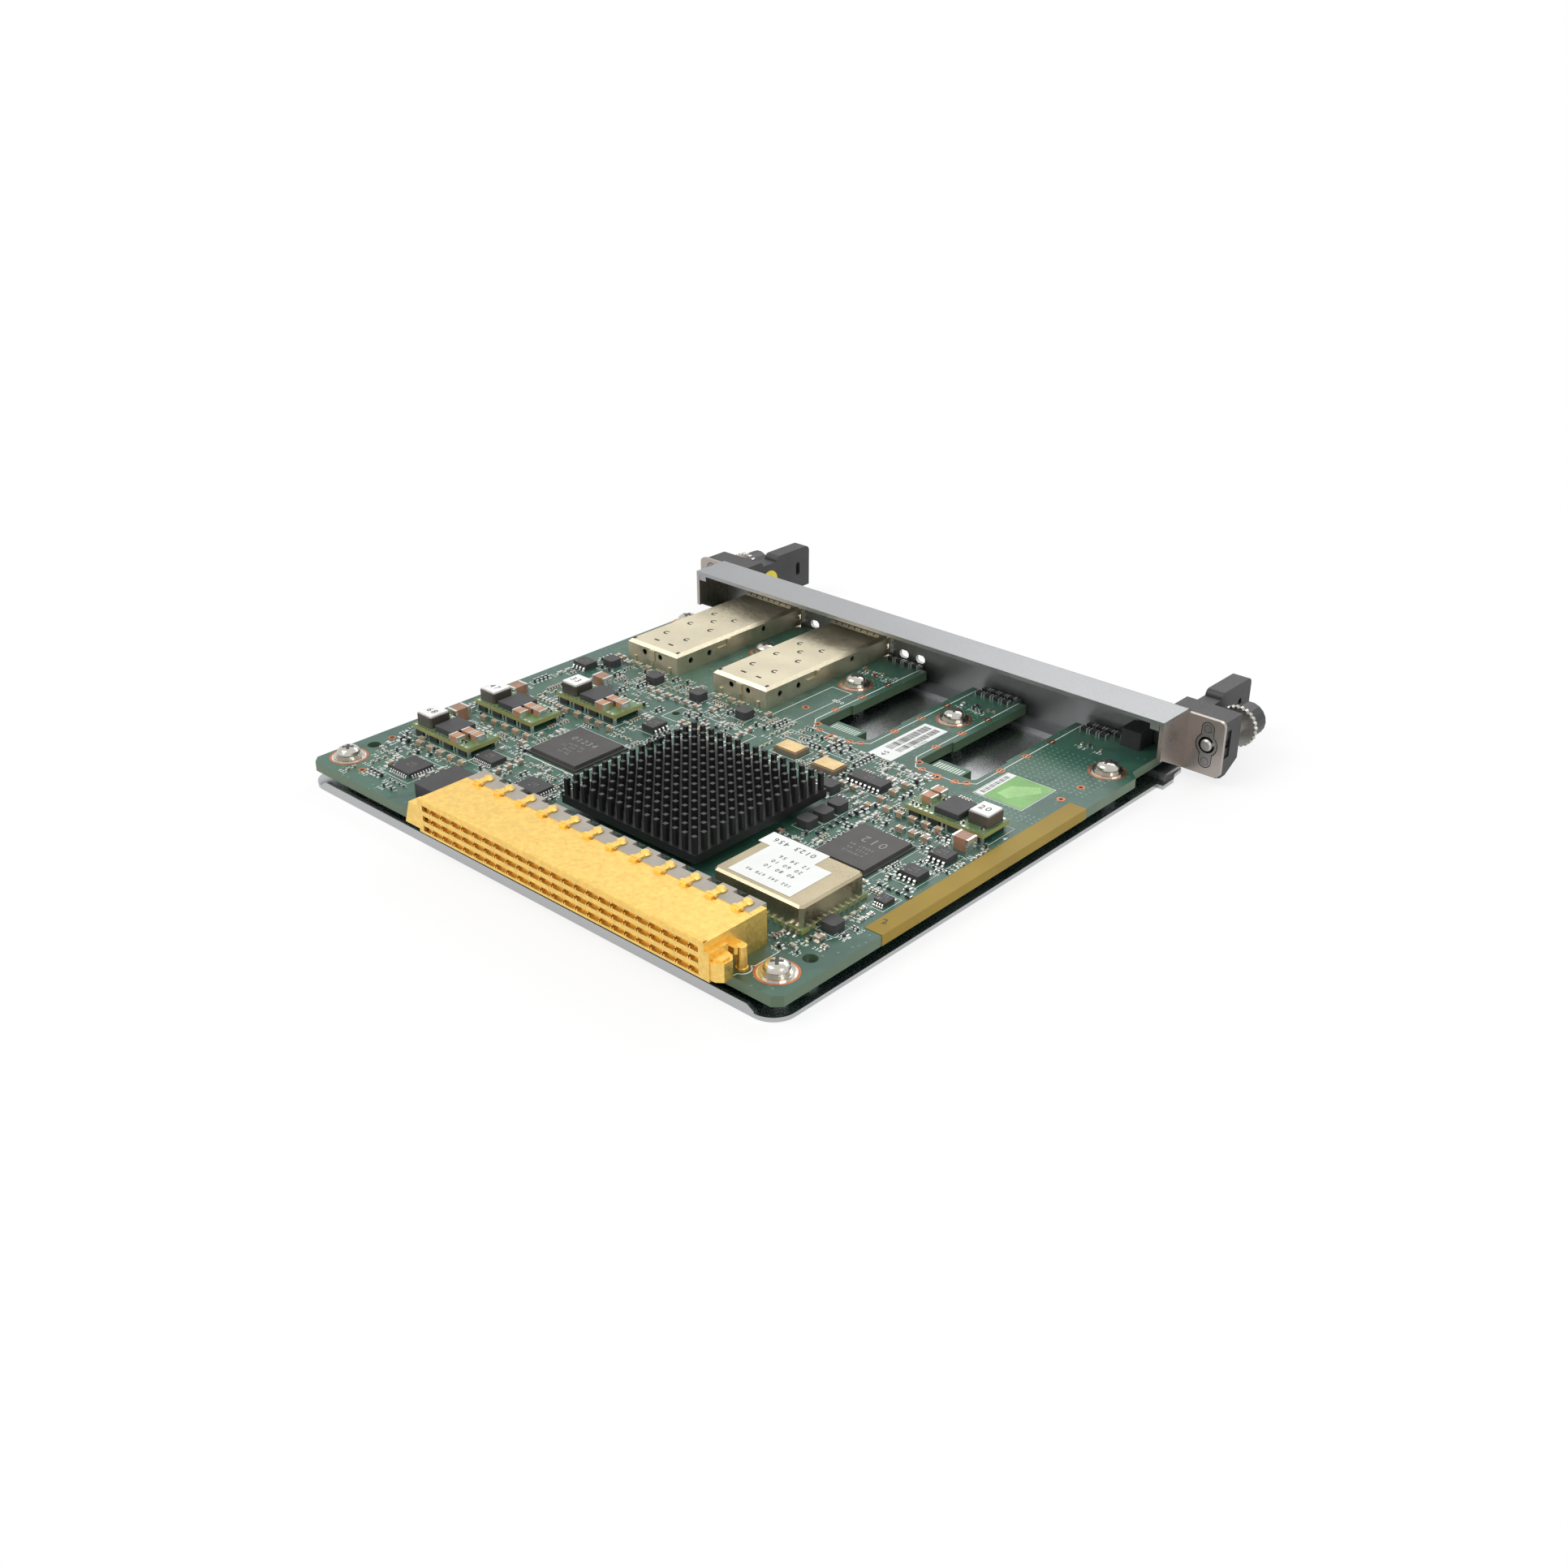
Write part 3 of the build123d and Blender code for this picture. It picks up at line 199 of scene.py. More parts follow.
def boardFinish(name, look):
    material, tree, shader = startMaterial(name, look["mask"], 0.0, 0.3)
    shader.inputs["Coat Weight"].default_value = look["coat"]
    shader.inputs["Coat Roughness"].default_value = 0.18
    point = objectPoint(tree, (1000, 1000, 1000))
    patches = {"Vector": point, "Scale": look["patchScale"], "Randomness": 0.8}
    cells = addNode(tree, "ShaderNodeTexVoronoi", patches, distance="MANHATTAN").outputs["Color"]
    pick = addNode(tree, "ShaderNodeSeparateColor", {0: cells}).outputs
    lines = []
    for turn in (0.0, math.pi / 2, math.pi / 4):
        turned = addNode(tree, "ShaderNodeMapping", {"Vector": point, "Rotation": (0, 0, turn)}).outputs[0]
        bands = {"Vector": turned, "Scale": bandUnit / look["tracePitch"], "Distortion": 0.0}
        wave = addNode(tree, "ShaderNodeTexWave", bands, bands_direction="X")
        lines.append(remap(tree, wave.outputs["Fac"], 0.62, 0.78))
    straight = mixColor(tree, mathNode(tree, "GREATER_THAN", pick[0], 0.5), lines[0], lines[1])
    trace = mixColor(tree, mathNode(tree, "GREATER_THAN", pick[1], 0.78), straight, lines[2])
    trace = mathNode(tree, "MULTIPLY", trace, mathNode(tree, "GREATER_THAN", pick[2], 0.45))
    pour = remap(tree, noiseValue(tree, point, look["pourScale"], 1.0), 0.5, 0.52)
    tint = mixColor(tree, pour, look["pour"], look["mask"])
    tint = mixColor(tree, trace, tint, look["copper"])
    spots = {"Vector": point, "Scale": 1 / look["viaPitch"], "Randomness": 0.9}
    away = addNode(tree, "ShaderNodeTexVoronoi", spots).outputs["Distance"]
    viaRing = mathNode(tree, "MULTIPLY", remap(tree, away, 0.16, 0.11), 0.7)
    tint = mixColor(tree, viaRing, tint, look["viaRing"])
    # painted shade: a dark dot in each via's hole
    tint = mixColor(tree, remap(tree, away, 0.07, 0.04), tint, look["viaHoleShade"])
    cloudy = noiseValue(tree, point, look["cloudScale"], 5.0)
    tint = mixColor(tree, remap(tree, cloudy, 0.3, 0.7, 0.0, 0.25), tint, scaled(look["mask"], 1.6))
    layers = {"Vector": point, "Scale": look["weaveScale"], "Distortion": 1.5}
    weave = addNode(tree, "ShaderNodeTexWave", layers, bands_direction="Z").outputs["Fac"]
    sideTint = mixColor(tree, weave, look["side"], scaled(look["side"], 0.75))
    normal = addNode(tree, "ShaderNodeNewGeometry").outputs["Normal"]
    upness = mathNode(tree, "ABSOLUTE", addNode(tree, "ShaderNodeSeparateXYZ", {0: normal}).outputs[2])
    values = {
        "Base Color": mixColor(tree, mathNode(tree, "GREATER_THAN", upness, 0.7), sideTint, tint),
        "Roughness": remap(tree, trace, 0, 1, 0.42, 0.3),
    }
    height = mathNode(tree, "ADD", trace, mathNode(tree, "MULTIPLY", cloudy, 0.4))
    wireShader(tree, shader, values, height, 0.5)
    return material


print("materials")
# a metal is colour, rough, brush, grain, cloud, spread and bump
even = (1, 1, 1)
metalLook = {
    "trayZinc": ((0.46, 0.465, 0.475), 0.27, (0.5, 1, 1), 5200, 30, 0.04, 0.05),
    "plateZinc": ((0.335, 0.342, 0.348), 0.40, (0.5, 1, 1), 5600, 45, 0.035, 0.07),
    "bracketSteel": ((0.41, 0.365, 0.335), 0.36, (1, 1, 0.12), 5200, 60, 0.06, 0.1),
    "retainerSteel": ((0.30, 0.29, 0.28), 0.40, even, 1500, 200, 0.12, 0.2),
    "cageTin": ((0.66, 0.60, 0.45), 0.44, (1, 0.3, 1), 3600, 110, 0.06, 0.1),
    "cageTape": ((0.62, 0.57, 0.42), 0.5, even, 2600, 200, 0.12, 0.2),
    "plugGold": ((0.93, 0.62, 0.18), 0.42, even, 2600, 900, 0.13, 1.6),
    "contactGold": ((0.88, 0.60, 0.20), 0.35, even, 3000, 200, 0.12, 0.2),
    # gold darkened by painted shade, for the backs of the connector's mouths and the shell's seam
    "mouthGold": ((0.66, 0.40, 0.10), 0.5, even, 3000, 500, 0.12, 0.4),
    "canTin": ((0.47, 0.405, 0.275), 0.34, (1, 0.3, 0.3), 3600, 110, 0.08, 0.12),
    "screwZinc": ((0.54, 0.525, 0.47), 0.15, even, 900, 300, 0.08, 0.1),
    # painted shade: a dark steel for the screws' cross recesses
    "recessSteel": ((0.085, 0.082, 0.075), 0.42, even, 3000, 300, 0.1, 0.2),
    "leadTin": ((0.84, 0.84, 0.82), 0.30, even, 2000, 400, 0.08, 0.1),
    "solderSilver": ((0.78, 0.78, 0.76), 0.24, even, 2600, 700, 0.1, 0.3),
    "ringCopper": ((0.52, 0.19, 0.085), 0.42, even, 3000, 300, 0.15, 0.2),
    "padPale": ((0.50, 0.58, 0.50), 0.40, even, 2600, 300, 0.08, 0.2),
}
# a moulded finish is colour, rough, grain, cloud, spread and bump
mouldedLook = {
    "sinkBlack": ((0.012, 0.012, 0.0125), 0.36, 5000, 120, 0.25, 0.3),
    "handleBlack": ((0.028, 0.028, 0.030), 0.52, 3600, 110, 0.25, 0.6),
    "chipBlack": ((0.047, 0.044, 0.042), 0.48, 6500, 260, 0.15, 0.45),
    "chipDark": ((0.030, 0.030, 0.033), 0.5, 6500, 260, 0.15, 0.45),
    "chipMark": ((0.27, 0.26, 0.25), 0.55, 5200, 300, 0.10, 0.1),
    "plugGrey": ((0.34, 0.31, 0.27), 0.42, 4200, 180, 0.12, 0.3),
    "coilGrey": ((0.040, 0.039, 0.041), 0.55, 5200, 260, 0.2, 0.6),
    "ceramicTan": ((0.42, 0.22, 0.125), 0.4, 3200, 400, 0.18, 0.3),
    "ceramicPale": ((0.42, 0.33, 0.24), 0.42, 3200, 400, 0.25, 0.3),
    "ceramicBrown": ((0.31, 0.165, 0.10), 0.38, 3200, 400, 0.2, 0.3),
    "resistorBlack": ((0.022, 0.022, 0.026), 0.35, 5200, 300, 0.3, 0.3),
    "smallTan": ((0.36, 0.245, 0.155), 0.42, 3200, 500, 0.28, 0.3),
    "smallPale": ((0.50, 0.47, 0.41), 0.45, 3200, 500, 0.2, 0.3),
    "labelPaper": ((0.77, 0.785, 0.775), 0.6, 5200, 120, 0.03, 0.15),
    "stickerGreen": ((0.135, 0.34, 0.075), 0.3, 2600, 90, 0.30, 0.2),
    # painted sheen: the paler patch on the sticker's film
    "stickerShade": ((0.28, 0.56, 0.17), 0.28, 2600, 140, 0.25, 0.2),
    "edgeAmber": ((0.29, 0.19, 0.012), 0.40, 7000, 60, 0.12, 0.08),
    "silkWhite": ((0.80, 0.84, 0.81), 0.6, 5200, 300, 0.08, 0.2),
    "inkBlack": ((0.03, 0.03, 0.032), 0.6, 5200, 300, 0.2, 0.1),
    "dotYellow": ((0.76, 0.62, 0.04), 0.45, 3600, 120, 0.08, 0.2),
    # painted shade: the dark in holes, slots, connector cells, notches and beside the cage dimples
    "holeDark": ((0.010, 0.010, 0.010), 0.7, 3600, 120, 0.2, 0.1),
    "viaGreen": ((0.115, 0.27, 0.20), 0.35, 3600, 300, 0.12, 0.2),
}
crystalRim = nodeBox("crystals")[1][2] - 0.3
twoToneLook = {
    "coilShield": (((0.115, 0.10, 0.085), 0.6, 0.38), ((0.80, 0.80, 0.79), 0.0, 0.45), 2, boardTop + 5.05),
    "gripAndFlange": (((0.46, 0.445, 0.41), 1.0, 0.42), ((0.026, 0.026, 0.028), 0.0, 0.45), 1, 15.0),
    "crystalCase": (((0.20, 0.155, 0.11), 0.0, 0.45), ((0.74, 0.55, 0.28), 1.0, 0.30), 2, crystalRim),
    "leadedChip": (((0.66, 0.66, 0.64), 1.0, 0.3), ((0.032, 0.031, 0.033), 0.0, 0.5), 2, boardTop + 0.205),
}
finishes = {}
finishes["boardGreen"] = boardFinish("boardGreen", boardLook)
finishes["moduleGreen"] = boardFinish("moduleGreen", moduleLook)
for make, looks in ((metalFinish, metalLook), (mouldedFinish, mouldedLook), (twoToneFinish, twoToneLook)):
    for name, look in looks.items():
        finishes[name] = make(name, *look)
amberShader = finishes["edgeAmber"].node_tree.nodes["Principled BSDF"]
amberShader.inputs["Specular IOR Level"].default_value = 0.25  # the tape shines little

# which nodes wear a finish, named without their side or number
wornBy = {
    "trayZinc": ["carrier_tray"],
    "plateZinc": ["faceplate"],
    "bracketSteel": ["side_bracket"],
    "retainerSteel": ["retainer_plate", "handle_rivets", "retaining_ring"],
    "handleBlack": ["handle", "lamp_block"],
    "gripAndFlange": ["thumbscrew"],
    "cageTin": ["port_cage", "cage_gasket"],
    "plugGold": ["backplane_shell"],
    "contactGold": ["backplane_contacts"],
    "plugGrey": ["backplane_strip"],
    "sinkBlack": ["heat_sink"],
    "chipBlack": ["processor_chip", "logic_chip", "memory_chip"],
    "chipDark": ["port_connector", "power_board_headers", "power_chip", "side_block"],
    "leadedChip": ["quad_flat_chip", "small_outline_chips", "thin_outline_chips"],
    "coilShield": ["power_inductor"],
    "coilGrey": ["shielded_inductors"],
    "crystalCase": ["crystals"],
    "ceramicTan": ["power_capacitors", "bulk_capacitors"],
    "ceramicPale": ["ceramic_capacitors"],
    "resistorBlack": ["chip_resistors"],
    "canTin": ["oscillator_can"],
    "labelPaper": ["can_label", "board_labels"],
    "edgeAmber": ["edge_tape"],
    "screwZinc": ["board_screws", "board_washers"],
    "leadTin": ["board_standoffs"],
    "boardGreen": ["main_board"],
    "moduleGreen": ["oscillator_base", "power_board"],
}
finishOf = {family: finish for finish, families in wornBy.items() for family in families}
for node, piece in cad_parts.items():
    family = node.rstrip("_1234").removesuffix("_left").removesuffix("_right")
    piece.data.materials.clear()
    piece.data.materials.append(finishes[finishOf[family]])


# shapes are written in millimetres and made in metres
def meshOf(name, verts, faces):
    mesh = bpy.data.meshes.new(name)
    mesh.from_pydata([Vector(vert) * mm for vert in verts], [], faces)
    work = bmesh.new()
    work.from_mesh(mesh)
    bmesh.ops.recalc_face_normals(work, faces=work.faces)
    work.to_mesh(mesh)
    work.free()
    return mesh


def joined(*parts):
    verts, faces = [], []
    for moreVerts, moreFaces in parts:
        start = len(verts)
        verts += moreVerts
        faces += [[start + corner for corner in face] for face in moreFaces]
    return verts, faces


# the faces between two loops of points, each loop given by the number of its first point
def bandFaces(first, second, count):
    pairs = [(index, (index + 1) % count) for index in range(count)]
    return [[first + index, first + after, second + after, second + index] for index, after in pairs]


def boxParts(*boxes):
    sides = ((3, 2, 1, 0), (4, 5, 6, 7), (0, 1, 5, 4), (1, 2, 6, 5), (2, 3, 7, 6), (3, 0, 4, 7))
    parts = []
    for x0, y0, z0, x1, y1, z1 in boxes:
        corners = ((x0, y0), (x1, y0), (x1, y1), (x0, y1))
        parts.append(([(x, y, z) for z in (z0, z1) for x, y in corners], sides))
    return joined(*parts)


def prismParts(outline, low, high, topScale=1.0):
    count = len(outline)
    verts = [(x, y, low) for x, y in outline] + [(x * topScale, y * topScale, high) for x, y in outline]
    ends = [list(range(count))[::-1], list(range(count, 2 * count))]
    return verts, ends + bandFaces(0, count, count)


def circlePoints(radius, count, x=0.0, y=0.0, start=0.0):
    steps = [start + 2 * math.pi * index / count for index in range(count)]
    return [(x + radius * math.cos(step), y + radius * math.sin(step)) for step in steps]


def ringParts(inner, outer, low, high, count):
    verts, faces = [], []
    for loop, (radius, level) in enumerate(((inner, low), (outer, low), (outer, high), (inner, high))):
        verts += [(x, y, level) for x, y in circlePoints(radius, count)]
        faces += bandFaces(loop * count, (loop + 1) % 4 * count, count)
    return verts, faces


# a flat strip of metal bent along a path in its own YZ plane, centred on x
def stripParts(path, thickness, width):
    points = [Vector(point) for point in path]
    last = len(points) - 1
    upper, lower = [], []
    for index, point in enumerate(points):
        run = points[min(index + 1, last)] - points[max(index - 1, 0)]
        side = Vector((-run.y, run.x)).normalized() * thickness / 2
        upper.append(point + side)
        lower.append(point - side)
    outline = upper + lower[::-1]
    count = len(outline)
    verts = [(x, y, z) for x in (-width / 2, width / 2) for y, z in outline]
    faces = bandFaces(0, count, count)
    for index in range(last):
        quad = [index, index + 1, count - 2 - index, count - 1 - index]
        faces += [quad[::-1], [count + corner for corner in quad]]
    return verts, faces


# node trees: stamp a shape on spots, repeat it along a row, and draw lines of print
def openTree(name, sockets):
    tree = bpy.data.node_groups.new(name, "GeometryNodeTree")
    for label, kind in sockets.items():
        tree.interface.new_socket(label, in_out="INPUT", socket_type="NodeSocket" + kind)
    tree.interface.new_socket("Result", in_out="OUTPUT", socket_type="NodeSocketGeometry")
    return tree, addNode(tree, "NodeGroupInput").outputs


def closeTree(tree, geometry, finish):
    solid = addNode(tree, "GeometryNodeRealizeInstances", {"Geometry": geometry}).outputs[0]
    dressed = addNode(tree, "GeometryNodeSetMaterial", {"Geometry": solid, "Material": finish})
    addNode(tree, "NodeGroupOutput", {"Result": dressed.outputs[0]})
    return tree


def readAttribute(tree, name):
    inputs = {"Name": name}
    return addNode(tree, "GeometryNodeInputNamedAttribute", inputs, data_type="FLOAT_VECTOR").outputs[0]


def makeStampTree():
    tree, given = openTree("stampOnSpots", {"Spots": "Geometry", "Shape": "Object", "Finish": "Material"})
    placed = addNode(tree, "GeometryNodeInstanceOnPoints", {
        "Points": given["Spots"],
        "Instance": addNode(tree, "GeometryNodeObjectInfo", {"Object": given["Shape"]}).outputs["Geometry"],
        "Rotation": readAttribute(tree, "turn"),
        "Scale": readAttribute(tree, "stretch"),
    })
    return closeTree(tree, placed.outputs[0], given["Finish"])


def makeRowTree():
    sockets = {"Shape": "Object", "Count": "Int", "Start": "Vector", "Step": "Vector", "Finish": "Material"}
    tree, given = openTree("repeatInRow", {"Spots": "Geometry", **sockets})
    shape = addNode(tree, "GeometryNodeObjectInfo", {"Object": given["Shape"]}).outputs["Geometry"]
    line = {"Count": given["Count"], "Start Location": given["Start"], "Offset": given["Step"]}
    row = addNode(tree, "GeometryNodeMeshLine", line, mode="OFFSET").outputs[0]
    placed = addNode(tree, "GeometryNodeInstanceOnPoints", {"Points": row, "Instance": shape})
    return closeTree(tree, placed.outputs[0], given["Finish"])


def makePrintTree():
    sockets = {"Lines": "Geometry", "Width": "Float", "Film": "Float", "Finish": "Material"}
    tree, given = openTree("printLines", sockets)
    curve = addNode(tree, "GeometryNodeMeshToCurve", {"Mesh": given["Lines"]}).outputs[0]
    level = addNode(tree, "GeometryNodeSetCurveNormal", {"Curve": curve}, mode="Z_UP").outputs[0]
    section = {"Width": given["Width"], "Height": given["Film"]}
    nib = addNode(tree, "GeometryNodeCurvePrimitiveQuadrilateral", section).outputs[0]
    sweep = {"Curve": level, "Profile Curve": nib, "Fill Caps": True}
    return closeTree(tree, addNode(tree, "GeometryNodeCurveToMesh", sweep).outputs[0], given["Finish"])


print("node trees")
stampTree = makeStampTree()
rowTree = makeRowTree()
printTree = makePrintTree()


# every piece of the scene belongs to the module itself, not to a screw
def finishPiece(piece):
    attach(piece, "module")
    return piece


def addPiece(name, mesh, finish):
    piece = bpy.data.objects.new(name, mesh)
    bpy.context.collection.objects.link(piece)
    mesh.materials.append(finishes[finish])
    return finishPiece(piece)


def plainPiece(name, parts, finish):
    return addPiece(name, meshOf(name, *parts), finish)


# runs a tree on a base mesh and keeps the plain result, with no modifier left
def growPiece(name, base, tree, finish, slot, **values):
    piece = bpy.data.objects.new(name, base)
    bpy.context.collection.objects.link(piece)
    modifier = piece.modifiers.new(tree.name, "NODES")
    modifier.node_group = tree
    values["Finish"] = finishes[finish]
    for socket in tree.interface.items_tree:
        if socket.in_out == "INPUT" and socket.name in values:
            modifier[socket.identifier] = values[socket.name]
    graph = bpy.context.evaluated_depsgraph_get()
    mesh = bpy.data.meshes.new_from_object(piece.evaluated_get(graph))
    piece.modifiers.remove(modifier)
    piece.data = mesh
    return finishPiece(piece)


def shapeObject(name, parts):
    return bpy.data.objects.new(name, meshOf(name, *parts))


def boxShape(name, *boxes):
    return shapeObject(name, boxParts(*boxes))


def diskShape(name, radius, sides, height, topScale=1.0):
    return shapeObject(name, prismParts(circlePoints(radius, sides), 0, height, topScale))


# spots are (x, y, z, turn about z) or (x, y, z, turn, stretch x, y, z)
def stamp(name, shape, spots, finish, slot):
    base = bpy.data.meshes.new(name + "Spots")
    base.from_pydata([Vector(spot[:3]) * mm for spot in spots], [], [])
    turns = base.attributes.new("turn", "FLOAT_VECTOR", "POINT")
    stretches = base.attributes.new("stretch", "FLOAT_VECTOR", "POINT")
    for index, spot in enumerate(spots):
        turns.data[index].vector = (0, 0, spot[3])
        stretches.data[index].vector = spot[4:7] if len(spot) > 4 else (1, 1, 1)
    return growPiece(name, base, stampTree, finish, slot, Shape=shape)


def repeatRow(name, shape, count, start, pitch, finish, slot):
    base = bpy.data.meshes.new(name + "Row")
    places = {"Start": [value * mm for value in start], "Step": [pitch * mm, 0.0, 0.0]}
    return growPiece(name, base, rowTree, finish, slot, Shape=shape, Count=count, **places)


# white print on the board: a path is a list of (x, y), closed if its ends meet
def printPaths(name, paths, width):
    film = 0.02
    verts, edges = [], []
    for path in paths:
        closed = path[0] == path[-1]
        points = path[:-1] if closed else path
        start = len(verts)
        verts += [Vector((x, y, boardTop + film)) * mm for x, y in points]
        edges += [(start + index, start + index + 1) for index in range(len(points) - 1)]
        if closed:
            edges.append((start + len(points) - 1, start))
    base = bpy.data.meshes.new(name + "Paths")
    base.from_pydata(verts, edges, [])
    return growPiece(name, base, printTree, "silkWhite", "circuit_board", Width=width * mm, Film=film * mm)


def rectPath(x0, y0, x1, y1):
    return [(x0, y0), (x1, y0), (x1, y1), (x0, y1), (x0, y0)]


# plain numbers from the built-in font, as thin flat faces
def readGlyphs():
    glyphs = {}
    for digit in "0123456789":
        curve = bpy.data.curves.new("glyph" + digit, "FONT")
        curve.body = digit
        curve.resolution_u = 2
        holder = bpy.data.objects.new("glyph" + digit, curve)
        bpy.context.collection.objects.link(holder)
        graph = bpy.context.evaluated_depsgraph_get()
        mesh = bpy.data.meshes.new_from_object(holder.evaluated_get(graph))
        verts = [tuple(vert.co[:2]) for vert in mesh.vertices]
        glyphs[digit] = (verts, [list(face.vertices) for face in mesh.polygons])
        bpy.data.objects.remove(holder)
    return glyphs


glyphLook = {"height": 0.72, "middle": 0.36, "advance": 0.66, "film": 0.03}
glyphs = readGlyphs()


# each label is (text, x, y, letter height, turn); its middle is at x, y
def writeNumbers(name, labels, height, finish):
    level = height + glyphLook["film"]
    parts = []
    for text, x, y, size, turn in labels:
        scale = size / glyphLook["height"]
        along, across = math.cos(turn), math.sin(turn)
        for place, letter in enumerate(text):
            if letter == " ":
                continue
            shift = (place - len(text) / 2) * glyphLook["advance"]
            verts = []
            for u, v in glyphs[letter][0]:
                u, v = (u + shift) * scale, (v - glyphLook["middle"]) * scale
                verts.append((x + u * along - v * across, y + u * across + v * along, level))
            parts.append((verts, glyphs[letter][1]))
    verts, faces = joined(*parts)
    mesh = bpy.data.meshes.new(name)
    mesh.from_pydata([Vector(vert) * mm for vert in verts], [], faces)
    if mesh.polygons[0].normal.z < 0:
        mesh.flip_normals()
    return addPiece(name, mesh, finish)


# boxes round each separate solid of a CAD node
def solidBoxes(node):
    work = bmesh.new()
    work.from_mesh(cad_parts[node].data)
    bmesh.ops.remove_doubles(work, verts=work.verts, dist=1e-6)
    waiting = set(work.verts)
    boxes = []
    while waiting:
        chain, group = [waiting.pop()], []
        while chain:
            vert = chain.pop()
            group.append(vert.co * 1000)
            for edge in vert.link_edges:
                other = edge.other_vert(vert)
                if other in waiting:
                    waiting.discard(other)
                    chain.append(other)
        low = [round(min(point[axis] for point in group), 3) for axis in range(3)]
        high = [round(max(point[axis] for point in group), 3) for axis in range(3)]
        boxes.append((low, high))
    work.free()
    return sorted(boxes)


# the CAD as one tree of faces, to see where the board is bare
def cadSurface():
    parts = []
    for node in sorted(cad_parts):
        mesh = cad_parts[node].data
        parts.append(([vert.co.copy() for vert in mesh.vertices], [face.vertices for face in mesh.polygons]))
    return BVHTree.FromPolygons(*joined(*parts))


surface = cadSurface()
rayTop = 60  # above every part


def bareAt(x, y, halfX, halfY, level=boardTop):
    for stepX in (-1, 0, 1):
        for stepY in (-1, 0, 1):
            above = Vector((x + stepX * halfX, y + stepY * halfY, rayTop)) * mm
            hit = surface.ray_cast(above, Vector((0, 0, -1)))[0]
            if hit is None or abs(hit.z * 1000 - level) > 0.06:
                return False
    return True


print("board print")
# white lines round the two empty ports, the guide post and a few places for labels and chips
silkLook = {
    "line": 0.26,
    "port": [(-9.5, -3.2), (-9.5, -44.6), (-6.4, -48.9), (6.2, -48.9), (9.5, -46.4), (9.5, -3.2)],
    "boxes": [
        (-11.3, -52.5, -4.8, -27.0),
        (51.0, -50.3, 64.4, -36.8),
        (-31.0, -69.0, -5.5, -62.0),
        (-41.2, -105.6, -21.7, -87.0),
    ],
    "postStart": [(61.0, -128.7), (63.7, -129.3), (63.7, -136.0)],
    "postRadius": 1.9,
    "postEnd": (62.9, -141.2),
    "corner": [(33.0, -74.0), (33.0, -62.0), (36.0, -60.0)],
    "patches": [(2.0, -55.0), (16.5, -55.2), (31.7, -54.6)],
    "patchHalf": (3.9, 1.8),
}
silkPaths = [[(portX + x, y) for x, y in silkLook["port"]] for portX in emptyPorts]
silkPaths += [rectPath(*box) for box in silkLook["boxes"]]
postRing = circlePoints(silkLook["postRadius"], 24, *guidePost)
postArc = sorted([(x, y) for x, y in postRing if x > guidePost[0] + 0.2], key=lambda point: -point[1])
silkPaths += [silkLook["postStart"] + postArc + [silkLook["postEnd"]], silkLook["corner"]]
halfX, halfY = silkLook["patchHalf"]
silkPaths += [rectPath(x - halfX, y - halfY, x + halfX, y + halfY) for x, y in silkLook["patches"]]
printPaths("silkLines", silkPaths, silkLook["line"])

# thinner frames a gap away from the larger parts, where the board is bare
frameLook = {
    "line": 0.17,
    "gaps": {
        "power_board_1": 0.9,
        "power_board_2": 0.9,
        "power_board_3": 0.9,
        "power_board_4": 0.9,
        "shielded_inductors": 0.55,
        "crystals": 0.7,
        "quad_flat_chip": 0.8,
        "memory_chip": 0.9,
        "logic_chip": 1.0,
        "small_outline_chips": 0.6,
        "thin_outline_chips": 0.6,
    },
}
framePaths = []
for node, gap in frameLook["gaps"].items():
    for low, high in solidBoxes(node):
        path = rectPath(low[0] - gap, low[1] - gap, high[0] + gap, high[1] + gap)
        if all(bareAt(x, y, 0.2, 0.2) for x, y in path):
            framePaths.append(path)
printPaths("silkFrames", framePaths, frameLook["line"])

# copper rings, each with a dark disc of painted shade in its hole: ovals beside the empty ports, round ones
# behind them and elsewhere
ringLook = {
    "inner": 0.52,
    "outer": 1.0,
    "ovalAside": 9.5,
    "ovalRows": (-6.0, -16.3, -26.8, -37.1),
    "ovalStretch": 1.25,
    "behind": [(-7.2, -46.4, 1), (-4.6, -48.8, 1), (0.2, -49.7, 1.5), (5.0, -48.8, 1), (7.5, -47.6, 1)],
    "right": [(67.8, -31.8), (67.7, -39.7)],
    "left": [(-70.3, -121.5), (-61.0, -136.8), (-8.0, -41.0), (-39.6, -12.4), (-39.6, -30.0), (-7.6, -14.0)],
}
ringSpots = []
for portX in emptyPorts:
    for x in (portX - ringLook["ovalAside"], portX + ringLook["ovalAside"]):
        ringSpots += [(x, y, boardTop, 0, 1, ringLook["ovalStretch"], 1) for y in ringLook["ovalRows"]]
for portX in emptyPorts:
    ringSpots += [(portX + x, y, boardTop, 0, size, size, 1) for x, y, size in ringLook["behind"]]
ringSpots += [(x, y, boardTop, 0) for x, y in ringLook["right"] + ringLook["left"]]
ringSpots = [spot for spot in ringSpots if bareAt(*spot[:2], 0.3, 0.3)]
ringShape = shapeObject("copperRing", ringParts(ringLook["inner"], ringLook["outer"], 0, 0.035, 18))
holeShadeShape = diskShape("ringHole", ringLook["inner"] + 0.02, 14, 0.02)
stamp("copperRings", ringShape, ringSpots, "ringCopper", "circuit_board")
stamp("ringHoles", holeShadeShape, ringSpots, "holeDark", "circuit_board")

# solder round every board screw, and a rim of bare copper round that
padLook = {"screwPads": (3.2, 4.05, 0.03, "solderSilver"), "screwHalos": (4.05, 4.6, 0.025, "ringCopper")}
screwSpots = [middleOf(low, high) for low, high in solidBoxes("board_washers")]
for name, (inner, outer, height, finish) in padLook.items():
    shape = shapeObject(name + "Shape", ringParts(inner, outer, 0, height, 36))
    stamp(name, shape, [(x, y, boardTop, 0) for x, y in screwSpots], finish, "circuit_board")

